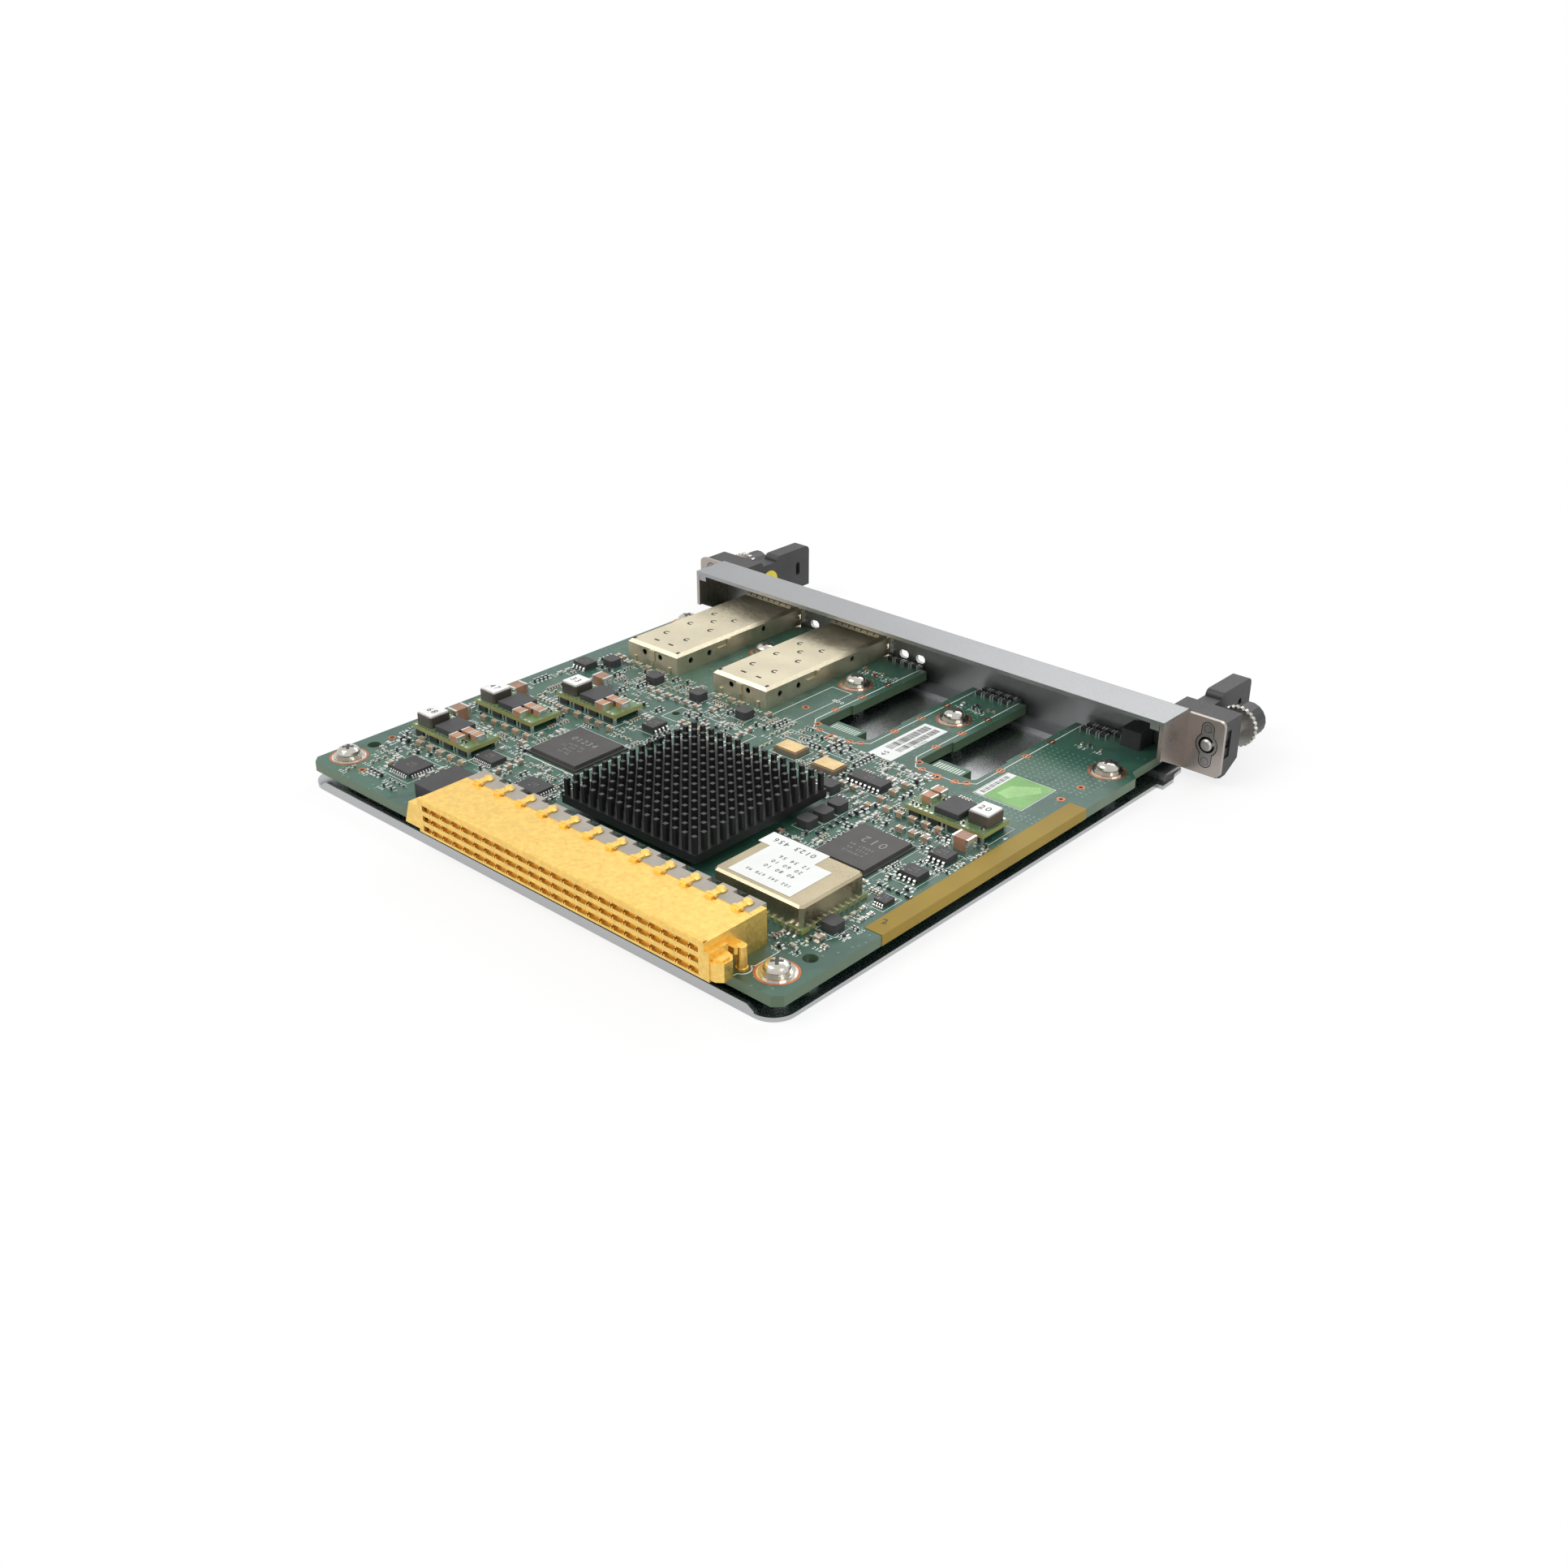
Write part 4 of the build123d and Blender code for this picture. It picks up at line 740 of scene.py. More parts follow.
# via dots in even grids, each as (x0, y0, x1, y1, pitch)
viaGrids = [
    (50.5, -35.5, 71.0, -18.0, 1.55),
    (52.0, -53.6, 72.0, -50.9, 1.35),
    (59.5, -127.5, 66.5, -122.0, 1.5),
    (-6.0, -20.0, -1.5, -8.0, 1.5),
    (20.0, -20.0, 28.0, -8.0, 1.5),
    (-70.5, -100.0, -62.0, -88.0, 1.5),
]
viaSpots = []
for x0, y0, x1, y1, pitch in viaGrids:
    columns = [x0 + column * pitch for column in range(int((x1 - x0) / pitch) + 1)]
    rows = [y0 + row * pitch for row in range(int((y1 - y0) / pitch) + 1)]
    viaSpots += [(x, y, boardTop, 0) for x in columns for y in rows if bareAt(x, y, 0.3, 0.3)]
stamp("viaDots", diskShape("viaDot", 0.26, 8, 0.02), viaSpots, "viaGreen", "circuit_board")

# solder pads for the ten tabs of each port connector that isn't fitted
tabLook = {"count": 10, "pitch": 0.8, "y": -44.3, "size": (0.42, 2.6, 0.03)}
tabShifts = [(index - (tabLook["count"] - 1) / 2) * tabLook["pitch"] for index in range(tabLook["count"])]
tabColumns = [portX + shift for portX in emptyPorts for shift in tabShifts]
tabSpots = [(x, tabLook["y"], boardTop, 0, *tabLook["size"]) for x in tabColumns]
padBox = boxShape("padBox", (-0.5, -0.5, 0, 0.5, 0.5, 1))
stamp("tabPads", padBox, tabSpots, "padPale", "circuit_board")

print("labels")
# two columns of bars on the paper strip, with plain numbers
barLook = {
    "seed": 5,
    "ink": 0.02,
    "start": 5.2,
    "end": 1.5,
    "columns": [(1.0, 3.2, 0.0), (3.9, 5.7, 0.1)],  # left, right and shift along the strip
    "widths": (0.14, 0.14, 0.26, 0.36),
    "gaps": (0.16, 0.24, 0.36),
}
barRandom = random.Random(barLook["seed"])
(barLow, barHigh), (stickLow, stickHigh) = solidBoxes("board_labels")
paper, inkTop = barHigh[2], barHigh[2] + barLook["ink"]
bars, y = [], barLow[1] + barLook["start"]
while y < barHigh[1] - barLook["end"]:
    width = barRandom.choice(barLook["widths"])
    for x0, x1, shift in barLook["columns"]:
        bars.append((barLow[0] + x0, y + shift, paper, barLow[0] + x1, y + shift + width, inkTop))
    y += width + barRandom.choice(barLook["gaps"])
plainPiece("barcodeBars", boxParts(*bars), "inkBlack")
upright = math.pi / 2
barLabels = [
    ("0123456", middleOf(barLow, barHigh)[0] + 2.9, -38.5, 0.75, upright),
    ("45", barLow[0] + 3.2, barLow[1] + 2.6, 1.5, upright),
]
writeNumbers("barcodeNumbers", barLabels, paper, "inkBlack")

# a green film on the sticker, a paler patch of painted sheen on it, and short bars along its left edge
stickLook = {"edge": 2.3, "film": 0.03, "shine": 0.045, "bars": 17, "pitch": 0.62, "thin": 0.2, "thick": 0.34}
(left, near, _), (right, far, paper) = stickLow, stickHigh
filmTop = paper + stickLook["film"]
film = (left + stickLook["edge"], near, paper, right, far, filmTop)
plainPiece("stickerFilm", boxParts(film), "stickerGreen")
shine = [
    (left + 4.0, near + 3.0),
    (left + 7.5, near + 2.2),
    (right - 1.2, far - 3.4),
    (right - 3.0, far - 1.4),
    (left + 4.6, far - 5.0),
]
shineParts = prismParts(shine, filmTop, paper + stickLook["shine"])
plainPiece("stickerShine", shineParts, "stickerShade")
stickBars = []
for index in range(stickLook["bars"]):
    y = near + 1.2 + index * stickLook["pitch"]
    thick = stickLook["thin"] if index % 3 else stickLook["thick"]
    stickBars.append((left + 0.5, y, paper, left + 1.8, y + thick, paper + 0.02))
plainPiece("stickerBars", boxParts(*stickBars), "inkBlack")

# the oscillator's label is a wide strip over a sheet: a row of numbers stays inside
# its own one, at a drop below the label's top
canLow, canHigh = nodeBox("can_label")
stripX, sheetX = canLow[0] + 7.75, canHigh[0] - 8.45
canRows = [
    ("0123 456", stripX, 2.45, 1.6),
    ("12 34 56", sheetX, 7.0, 1.15),
    ("20 60 10", sheetX, 9.3, 1.15),
    ("40 80 10", sheetX, 11.6, 1.15),
    ("102 345 678 90", sheetX, 14.8, 0.95),
]
canLabels = [(text, x, canHigh[1] - drop, size, math.pi) for text, x, drop, size in canRows]
writeNumbers("canNumbers", canLabels, canHigh[2], "inkBlack")

print("small parts")
# rows of small capacitors and resistors in the crowded parts of the board, each
# row laid only where the board is bare
smallLook = {
    "seed": 11,
    # x0, y0, x1, y1 and how many rows are tried there
    "areas": [
        (-70.5, -61.5, -12.0, -50.0, 190),
        (-71.0, -86.0, -36.0, -61.0, 130),
        (-71.5, -107.0, -40.0, -84.0, 130),
        (-71.0, -122.0, -42.0, -104.0, 110),
        (-70.0, -139.0, -45.0, -116.0, 110),
        (-45.0, -119.0, -17.0, -104.5, 90),
        (-40.0, -86.0, -12.0, -60.0, 60),
        (-12.0, -60.0, 40.0, -50.0, 110),
        (-12.0, -75.0, 36.0, -58.0, 70),
        (30.0, -96.0, 46.0, -60.0, 120),
        (40.0, -80.0, 70.0, -68.0, 90),
        (58.0, -126.0, 70.0, -74.0, 120),
        (28.0, -100.0, 42.0, -84.0, 40),
        (40.0, -60.0, 60.0, -53.5, 24),
        (55.0, -128.0, 68.0, -119.0, 20),
        (-13.0, -14.0, -1.5, -1.6, 26),
        (19.0, -14.0, 29.0, -1.6, 26),
        (50.5, -13.0, 61.0, -1.6, 30),
    ],
    # length, width, height and finish of a part
    "kinds": [
        (1.0, 0.5, 0.45, "smallTan"),
        (1.0, 0.5, 0.45, "smallTan"),
        (1.6, 0.8, 0.75, "resistorBlack"),
        (1.6, 0.8, 0.55, "smallPale"),
        (2.0, 1.25, 0.95, "smallTan"),
    ],
    "ownFinish": 0.7,  # the rest are black
    "room": (0.8, 0.75),  # half of the place taken, as shares of length and width
    "gap": 0.12,
    "numberSizes": (0.9, 1.05, 1.2),
    "numberGap": 0.7,
}
partRandom = random.Random(smallLook["seed"])
taken = [(*low[:2], *high[:2]) for low, high in solidBoxes("board_labels")]


def claim(x, y, halfX, halfY):
    taken.append((x - halfX, y - halfY, x + halfX, y + halfY))


def isFree(x, y, halfX, halfY):
    reach = (x - halfX, y - halfY, x + halfX, y + halfY)
    return all(reach[2] < x0 or reach[0] > x1 or reach[3] < y0 or reach[1] > y1 for x0, y0, x1, y1 in taken)


# dark blocks between the ports, under the plate's flange; a row is x, y and how many
frontLook = {
    "rows": [(-11.5, -2.6, 4), (19.6, -2.6, 4), (19.6, -5.2, 4), (51.3, -2.6, 4), (51.3, -5.2, 3)],
    "pitch": 2.7,
    "size": (2.2, 1.5, 0.9),
    "room": (1.3, 0.95),
}
screwRoom = 5.0
frontBlocks = []
for x, y, count in frontLook["rows"]:
    columns = [x + step * frontLook["pitch"] for step in range(count)]
    frontBlocks += [(column, y, boardTop, 0, *frontLook["size"]) for column in columns]
for x, y in screwSpots:
    claim(x, y, screwRoom, screwRoom)
for x, y, *_ in frontBlocks:
    claim(x, y, *frontLook["room"])

smallSpots = {finish: [] for *_, finish in smallLook["kinds"]}
numberLabels = []


# a plain number in the first bare place beside a row from start to end
def numberBeside(startX, startY, endX, endY, halfX, halfY):
    size = partRandom.choice(smallLook["numberSizes"])
    gap = smallLook["numberGap"]
    places = [(startX, startY - halfY - gap, 0), (endX, endY + halfY + gap, 0)]
    places += [(startX - halfX - gap, startY, 1), (endX + halfX + gap, endY, 1)]
    for x, y, quarters in places:
        reach = (size * 0.5, size * 1.25) if quarters else (size * 1.25, size * 0.5)
        if isFree(x, y, *reach) and bareAt(x, y, *reach):
            numberLabels.append((str(partRandom.randint(10, 999)), x, y, size, quarters * math.pi / 2))
            claim(x, y, *reach)
            break


def layRow(x0, y0, x1, y1):
    *size, finish = smallLook["kinds"][partRandom.randrange(len(smallLook["kinds"]))]
    if partRandom.random() >= smallLook["ownFinish"]:
        finish = "resistorBlack"
    turned = partRandom.random() < 0.5
    halves = [extent * share for extent, share in zip(size, smallLook["room"])]
    halfX, halfY = halves[::-1] if turned else halves
    alongX = partRandom.random() < 0.5
    stepX = 2 * halfX + smallLook["gap"] if alongX else 0
    stepY = 0 if alongX else 2 * halfY + smallLook["gap"]
    startX, startY = partRandom.uniform(x0, x1), partRandom.uniform(y0, y1)
    placed = []
    for index in range(partRandom.randint(2, 6)):
        x, y = startX + index * stepX, startY + index * stepY
        if x > x1 or y > y1 or not isFree(x, y, halfX, halfY) or not bareAt(x, y, halfX, halfY):
            break
        claim(x, y, halfX, halfY)
        placed.append((x, y, boardTop, math.pi / 2 if turned else 0, *size))
    if placed:
        smallSpots[finish] += placed
        numberBeside(startX, startY, *placed[-1][:2], halfX, halfY)


for *area, rows in smallLook["areas"]:
    for _ in range(rows):
        layRow(*area)

# unit shapes that a spot's stretch brings to size: a part's body between two soldered
# ends, and a larger block between two end caps
bodyShape = boxShape("partBody", (-0.27, -0.46, 0.05, 0.27, 0.46, 0.97))
partEnds = boxParts((-0.5, -0.5, 0.03, -0.26, 0.5, 1.0), (0.26, -0.5, 0.03, 0.5, 0.5, 1.0))
partFeet = boxParts((-0.74, -0.56, 0, -0.42, 0.56, 0.1), (0.42, -0.56, 0, 0.74, 0.56, 0.1))
endShape = shapeObject("partEnds", joined(partEnds, partFeet))
blockShape = boxShape("blockBody", (-0.38, -0.495, 0.01, 0.38, 0.495, 0.99))
blockEndShape = boxShape("blockEnds", (-0.5, -0.5, 0, -0.37, 0.5, 1.0), (0.37, -0.5, 0, 0.5, 0.5, 1.0))

for finish, spots in smallSpots.items():
    stamp("smallParts_" + finish, bodyShape, spots, finish, "ceramic_tan")
smallEnds = [spot for spots in smallSpots.values() for spot in spots]
stamp("smallPartEnds", endShape, smallEnds, "solderSilver", "screw_steel")
print(len(smallEnds), "small parts,", len(numberLabels), "numbers")


# a block's spot, turned so that its ends are on the short sides
def blockSpot(x, y, z, sizeX, sizeY, tall):
    if sizeX >= sizeY:
        return (x, y, z, 0, sizeX, sizeY, tall)
    return (x, y, z, math.pi / 2, sizeY, sizeX, tall)


def stampBlocks(name, endName, spots, finish, slot="ceramic_tan", endFinish="solderSilver"):
    body = stamp(name, blockShape, spots, finish, slot)
    stamp(endName, blockEndShape, spots, endFinish, "screw_steel")
    return body


# stamped bodies and ends stand for a CAD node of plain blocks
def dressBlocks(node, name, finish):
    spots = []
    for low, high in solidBoxes(node):
        spots.append(blockSpot(*middleOf(low, high), low[2], *(high[axis] - low[axis] for axis in range(3))))
    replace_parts(stampBlocks(name + "Bodies", name + "Ends", spots, finish), node)


stampBlocks("frontBlocks", "frontBlockEnds", frontBlocks, "resistorBlack", "black_plastic", "leadTin")
dressBlocks("ceramic_capacitors", "ceramicCaps", "smallTan")
dressBlocks("chip_resistors", "chipResistors", "resistorBlack")
dressBlocks("bulk_capacitors", "bulkCaps", "ceramicBrown")

print("chip leads")
# leads of the gull-wing packages, stamped round each package by its size
packageLook = {
    "wide": {"length": 9.9, "span": 6.0, "body": 3.9, "pins": 8, "pitch": 1.27},
    "narrow": {"length": 4.9, "span": 6.0, "body": 3.9, "pins": 4, "pitch": 1.27},
    "mini": {"length": 3.0, "span": 4.9, "body": 3.0, "pins": 4, "pitch": 0.65},
    "thin": {"length": 6.5, "span": 6.4, "body": 4.4, "pins": 10, "pitch": 0.65},
    "broad": {"length": 6.0, "span": 9.4, "body": 7.2, "pins": 8, "pitch": 0.75},
    "square": {"length": 9.0, "span": 9.0, "body": 7.0, "pins": 8, "pitch": 0.8},
}
# a lead is its path in y and z, thickness and width
leadLook = {
    "coarse": ([(-0.1, 0.85), (0.25, 0.85), (0.42, 0.7), (0.58, 0.2), (0.72, 0.14), (1.3, 0.14)], 0.24, 0.54),
    "fine": ([(-0.1, 0.62), (0.22, 0.62), (0.38, 0.5), (0.5, 0.18), (0.62, 0.1), (1.02, 0.1)], 0.15, 0.27),
}


# the package that a solid is, and whether it lies turned by a quarter
def packageOf(sizeX, sizeY):
    for turned, along, across in ((False, sizeX, sizeY), (True, sizeY, sizeX)):
        for kind, look in packageLook.items():
            if abs(look["length"] - along) < 0.2 and abs(look["span"] - across) < 0.2:
                return kind, turned


leadSpots = {"coarse": [], "fine": []}
dotSpots, markLabels = [], {}
for node in ("small_outline_chips", "thin_outline_chips", "quad_flat_chip"):
    for low, high in solidBoxes(node):
        x, y = middleOf(low, high)
        kind, turned = packageOf(high[0] - low[0], high[1] - low[1])
        look = packageLook[kind]
        sides = (0, 1, 2, 3) if kind == "square" else (1, 3) if turned else (0, 2)
        for angle in [side * math.pi / 2 for side in sides]:
            for pin in range(look["pins"]):
                shift, out = (pin - (look["pins"] - 1) / 2) * look["pitch"], look["body"] / 2
                pinX = x + shift * math.cos(angle) - out * math.sin(angle)
                pinY = y + shift * math.sin(angle) + out * math.cos(angle)
                leadSpots["coarse" if look["pitch"] > 1 else "fine"].append((pinX, pinY, boardTop, angle))
        bodyX, bodyY = (look["body"], look["length"]) if turned else (look["length"], look["body"])
        if kind == "square":
            bodyX = bodyY = look["body"]
        dotSpots.append((x - bodyX / 2 + 0.6, y - bodyY / 2 + 0.6, high[2], 0))
        size = min(0.8, bodyY / 4)
        rows = markLabels.setdefault(round(high[2], 3), [])
        rows.append(("1234"[: 2 + int(bodyX > 3.5)], x, y + size * 0.8, size, 0))
        rows.append(("56 7", x, y - size * 0.7, size * 0.8, 0))
for kind, spots in leadSpots.items():
    leadShape = shapeObject(kind + "Lead", stripParts(*leadLook[kind]))
    stamp(kind + "Leads", leadShape, spots, "leadTin", "screw_steel")
stamp("chipDots", diskShape("chipDot", 0.28, 12, 0.012), dotSpots, "chipMark", "black_plastic")
for number, (top, rows) in enumerate(sorted(markLabels.items()), start=1):
    writeNumbers(f"chipNumbers{number}", rows, top, "chipMark")

# plain rows of numbers on the two large flat chips: text, shift, rise and size
flatChips = {
    "logic": {"turn": 0, "rows": [
        ("01234", 0, 2.6, 1.9),
        ("5678 90", 0, -0.2, 0.85),
        ("12 345 67", 0, -1.6, 0.85),
        ("8901", 0, -3.0, 0.85),
        ("23 45", 0, -4.4, 0.85),
    ]},
    "memory": {"turn": math.pi, "rows": [
        ("012", 0.5, 2.6, 2.6),
        ("34567 89", 0, -0.6, 0.9),
        ("0123 45", 0, -2.2, 0.9),
        ("6789012", 0, -3.8, 0.9),
    ]},
}
for chip, look in flatChips.items():
    low, high = nodeBox(chip + "_chip")
    x, y = middleOf(low, high)
    labels = [(text, x + shift, y + rise, size, look["turn"]) for text, shift, rise, size in look["rows"]]
    writeNumbers(chip + "Numbers", labels, high[2], "chipMark")

# larger plain numbers that stand on the board beside chips and along the tape
boardNumbers = [
    ("156", 69.0, -117.0, 1.3), ("157", 66.8, -119.4, 1.3), ("20", 66.0, -121.0, 1.2),
    ("8", 61.6, -107.5, 1.3), ("11", 67.9, -106.5, 1.3), ("287", 62.6, -97.8, 1.3),
    ("53", 68.8, -99.6, 1.3), ("6", 71.0, -92.4, 1.3), ("15", 70.4, -83.4, 1.3),
    ("4", 69.4, -63.2, 1.4), ("11", 70.0, -72.6, 1.3), ("281", 34.5, -93.5, 1.3),
    ("3", 38.4, -88.2, 1.3), ("9", 40.6, -84.8, 1.3), ("117", 41.4, -57.4, 1.2),
    ("20", 50.0, -57.6, 1.2), ("13", 4.6, -17.5, 1.4), ("55", 56.6, -14.2, 1.3),
    ("800", -4.0, -33.0, 1.4), ("31", 12.0, -53.0, 1.2), ("66", 27.0, -53.0, 1.2),
    ("45", 36.5, -53.4, 1.2), ("82", -67.5, -126.0, 1.3), ("70", -65.0, -130.2, 1.3),
    ("28", -57.5, -136.2, 1.3), ("88", -70.0, -113.0, 1.3), ("63", -44.8, -100.0, 1.3),
    ("64", -43.0, -102.6, 1.3), ("21", -22.4, -104.4, 1.2), ("72", -30.0, -102.8, 1.2),
    ("90", -16.6, -82.0, 1.3), ("33", -13.4, -70.6, 1.3), ("19", -9.4, -67.0, 1.2),
]
freeNumbers = [(*label, 0) for label in boardNumbers if bareAt(*label[1:3], 0.7, 0.45)]
writeNumbers("boardNumbers", freeNumbers + numberLabels, boardTop, "silkWhite")
tapeTop = nodeBox("edge_tape")[1][2]
writeNumbers("tapeNumbers", [("2", 72.0, -107.0, 1.9, 0.4)], tapeTop, "inkBlack")

print("plug connector")
# three mouths with a back of gold darkened by painted shade, cells painted dark as shade and a row of beads
# in each
plugLook = {
    "left": -26.8,
    "right": 60.0,
    "hooks": 12,
    "hookMargin": 4.2,
    "mouths": (-2.45, 0.0, 2.45),
    "mouthMiddle": boardTop + 3.7,
    "mouthHeight": 1.3,
}
plugFront, plugTop, hooks = nodeBox("backplane_shell")[0][1], boardTop + 8.0, plugLook["hooks"]
plugWide = plugLook["right"] - plugLook["left"]
plugMiddle = (plugLook["left"] + plugLook["right"]) / 2
backHalf = plugWide / 2 - 2.1
mouthHalf = plugLook["mouthHeight"] / 2 - 0.02
beadTop = 0.34 - mouthHalf
hookPitch = (plugWide - 2 * plugLook["hookMargin"]) / (hooks - 1)
contacts = 2 * hooks - 1
contactStart = plugMiddle - (contacts - 1) * hookPitch / 4
backShape = boxShape("mouthBack", (-backHalf, 0.85, -mouthHalf, backHalf, 1.0, mouthHalf))
cells = [(-1.3, 0.78, 0.02, -0.2, 0.9, mouthHalf - 0.05), (0.2, 0.78, 0.02, 1.3, 0.9, mouthHalf - 0.05)]
beads = [(-0.46, 0.12, -mouthHalf, -0.18, 0.9, beadTop), (0.18, 0.12, -mouthHalf, 0.46, 0.9, beadTop)]
beads.append((-0.13, 0.2, 0.0, 0.13, 0.9, mouthHalf))
cellShadeShape, beadShape = boxShape("mouthCell", *cells), boxShape("mouthBead", *beads)
for number, shift in enumerate(plugLook["mouths"], start=1):
    middle = plugLook["mouthMiddle"] + shift
    row = (contacts, (contactStart, plugFront, middle), hookPitch / 2)
    stamp(f"mouthBack{number}", backShape, [(plugMiddle, plugFront, middle, 0)], "mouthGold", "gold_metal")
    repeatRow(f"mouthCells{number}", cellShadeShape, *row, "holeDark", "black_plastic")
    repeatRow(f"mouthBeads{number}", beadShape, *row, "plugGold", "gold_metal")

# rounded hooks that reach over the strip, each a round cap and a narrow wing
hookStart = plugMiddle + 0.2 - hookPitch * (hooks - 1) / 2
capVerts, capFaces = prismParts(circlePoints(1.2, 16), 0, 0.55, 0.72)
wingVerts, wingFaces = prismParts([(-1.5, -0.4), (1.5, -0.4), (1.2, 0.4), (-1.2, 0.4)], 0, 0.4, 0.85)
capVerts = [(x, y + 1.7, z) for x, y, z in capVerts]
wingVerts = [(x, y - 0.9, z) for x, y, z in wingVerts]
hookShape = shapeObject("hookCap", joined((capVerts, capFaces), (wingVerts, wingFaces)))
hookPlace = (hookStart, plugFront + 14.4, plugTop + 0.3)
repeatRow("plugHooks", hookShape, hooks, hookPlace, hookPitch, "plugGold", "gold_metal")

# a raised lip along the front, a seam along the rear in gold darkened by painted shade, and notches in the
# strip's rear edge painted dark as shade
lipPath = [(0.0, -0.1), (0.0, 0.22), (0.5, 0.3), (1.1, 0.05)]
lipShape = shapeObject("frontLip", stripParts(lipPath, 0.18, plugWide - 0.6))
stamp("plugFrontLip", lipShape, [(plugMiddle, plugFront + 0.12, plugTop - 0.02, 0)], "plugGold", "gold_metal")
seamHalf = plugWide / 2 - 0.4
seamShape = boxShape("shellSeam", (-seamHalf, -0.09, 0, seamHalf, 0.09, 0.02))
stamp("shellSeam", seamShape, [(plugMiddle, plugFront + 13.6, plugTop, 0)], "mouthGold", "gold_metal")
notchShadeShape = boxShape("stripNotch", (-1.1, -0.55, 0, 1.1, 0, 0.03), (-0.45, -1.1, 0, 0.45, -0.55, 0.03))
notchPlace = (hookStart + hookPitch / 2, *nodeBox("backplane_strip")[1][1:])
repeatRow("stripNotches", notchShadeShape, hooks - 1, notchPlace, hookPitch, "holeDark", "black_plastic")

# bevelled end block, the arm that joins the guide post to the shell, and the post
blockOutline = [(0, 0.2), (2.6, 0.2), (4.0, 1.3), (4.0, 3.6), (2.8, 4.8), (0, 5.2)]
armOutline = [(0, 5.9), (1.9, 6.1), (2.9, 7.0), (2.6, 8.6), (1.2, 9.0), (0, 8.9)]
bevelOutline = [(x * 0.86, 0.5 + y * 0.82) for x, y in blockOutline]
endVerts, endFaces = joined(
    prismParts(blockOutline, boardTop + 0.5, boardTop + 4.6),
    prismParts(bevelOutline, boardTop + 4.6, boardTop + 5.1),
    prismParts(armOutline, boardTop + 3.6, boardTop + 5.1),
)
endVerts = [(x + plugLook["right"], y + plugFront, z) for x, y, z in endVerts]
plainPiece("plugEndBlock", (endVerts, endFaces), "plugGold")
postFoot = prismParts(circlePoints(1.25, 20, *guidePost), boardTop, boardTop + 0.5)
postPin = prismParts(circlePoints(1.05, 20, *guidePost), boardTop + 0.5, boardTop + 5.3)
plainPiece("guidePost", joined(postFoot, postPin), "plugGold")

print("port cages")
# dimples with a dark crescent of painted shade round each bump, slots painted dark as shade, folded tabs and
# clips, all placed from each cage's middle
cageLook = {
    "lid": boardTop + 5.5,
    "half": 9.2,
    "rear": -48.6,
    "dimpleColumns": (-4.3, 3.3),
    "dimpleRows": (-39.0, -30.0, -20.7),
    "middleDimple": (-0.5, -24.9),
    "dimpleTurn": 0.9,
    "rearTabs": (-6.4, 0.0, 6.4),
    "clipAside": 10.1,
    "clipArms": (6.6, 8.4, 10.2),
    "pinAside": 8.95,
    "pinRows": (-46.0, -33.0, -12.0),
}
lid, half, rear = cageLook["lid"], cageLook["half"], cageLook["rear"]
dimpleOuter, dimpleInner = (circlePoints(radius, 14, start=0.4)[:11] for radius in (0.95, 0.50))
dimpleShadeShape = shapeObject("lidDimple", prismParts(dimpleOuter + dimpleInner[::-1], 0, 0.03))
dimples = [(x, y) for x in cageLook["dimpleColumns"] for y in cageLook["dimpleRows"]]
dimples.append(cageLook["middleDimple"])
dimpleSpots = [(portX + x, y, lid, cageLook["dimpleTurn"]) for portX in cagedPorts for x, y in dimples]
stamp("lidDimples", dimpleShadeShape, dimpleSpots, "holeDark", "cage_metal")
stamp("lidBumps", diskShape("lidBump", 0.42, 12, 0.12, 0.5), dimpleSpots, "cageTin", "cage_metal")
cageFinish = {
    "lidSlots": "holeDark",
    "cheekTapes": "cageTape",
    "cheekTabs": "cageTin",
    "rearTabs": "cageTape",
    "cageClips": "solderSilver",
}
cageBoxes = {name: [] for name in cageFinish}
for portX in cagedPorts:
    left, right = portX - half, portX + half
    cageBoxes["lidSlots"] += [
        (right - 1.5, rear + 0.9, lid, right - 0.75, rear + 2.1, lid + 0.04),
        (left + 0.75, rear + 0.9, lid, left + 1.5, rear + 2.1, lid + 0.04),
    ]
    cageBoxes["cheekTapes"] += [
        (left - 0.09, -28.7, lid - 3.6, left + 0.02, -20.6, lid - 0.7),
        (right - 0.02, -28.3, lid - 3.6, right + 0.09, -20.6, lid - 0.7),
    ]
    cageBoxes["cheekTabs"] += [
        (right, -33.4, 6.9, right + 0.35, -28.2, 8.9),
        (right + 0.1, -29.9, 8.9, right + 0.45, -28.6, 10.5),
    ]
    for x in [portX + shift for shift in cageLook["rearTabs"]]:
        foot = (x - 0.45, rear - 0.35, boardTop, x + 0.45, rear + 0.02, boardTop + 1.4)
        cageBoxes["cheekTabs"].append(foot)
    cageBoxes["rearTabs"].append((portX - 1.1, rear - 0.3, 7.4, portX + 1.0, rear - 0.02, 10.2))
    for x in (portX - cageLook["clipAside"], portX + cageLook["clipAside"]):
        cageBoxes["cageClips"].append((x - 0.25, -0.6, 6.6, x + 0.25, -0.04, 11.0))
        cageBoxes["cageClips"] += [(x + 0.2, -0.8, z, x + 1.1, -0.04, z + 0.8) for z in cageLook["clipArms"]]
for name, finish in cageFinish.items():
    plainPiece(name, boxParts(*cageBoxes[name]), finish)
pinColumns = [portX + side * cageLook["pinAside"] for portX in cagedPorts for side in (-1, 1)]
pinSpots = [(x, y, boardLow - 0.9, 0) for x in pinColumns for y in cageLook["pinRows"]]
stamp("cagePins", diskShape("cagePin", 0.45, 10, 0.9, 0.7), pinSpots, "leadTin", "cage_metal")

print("power boards")
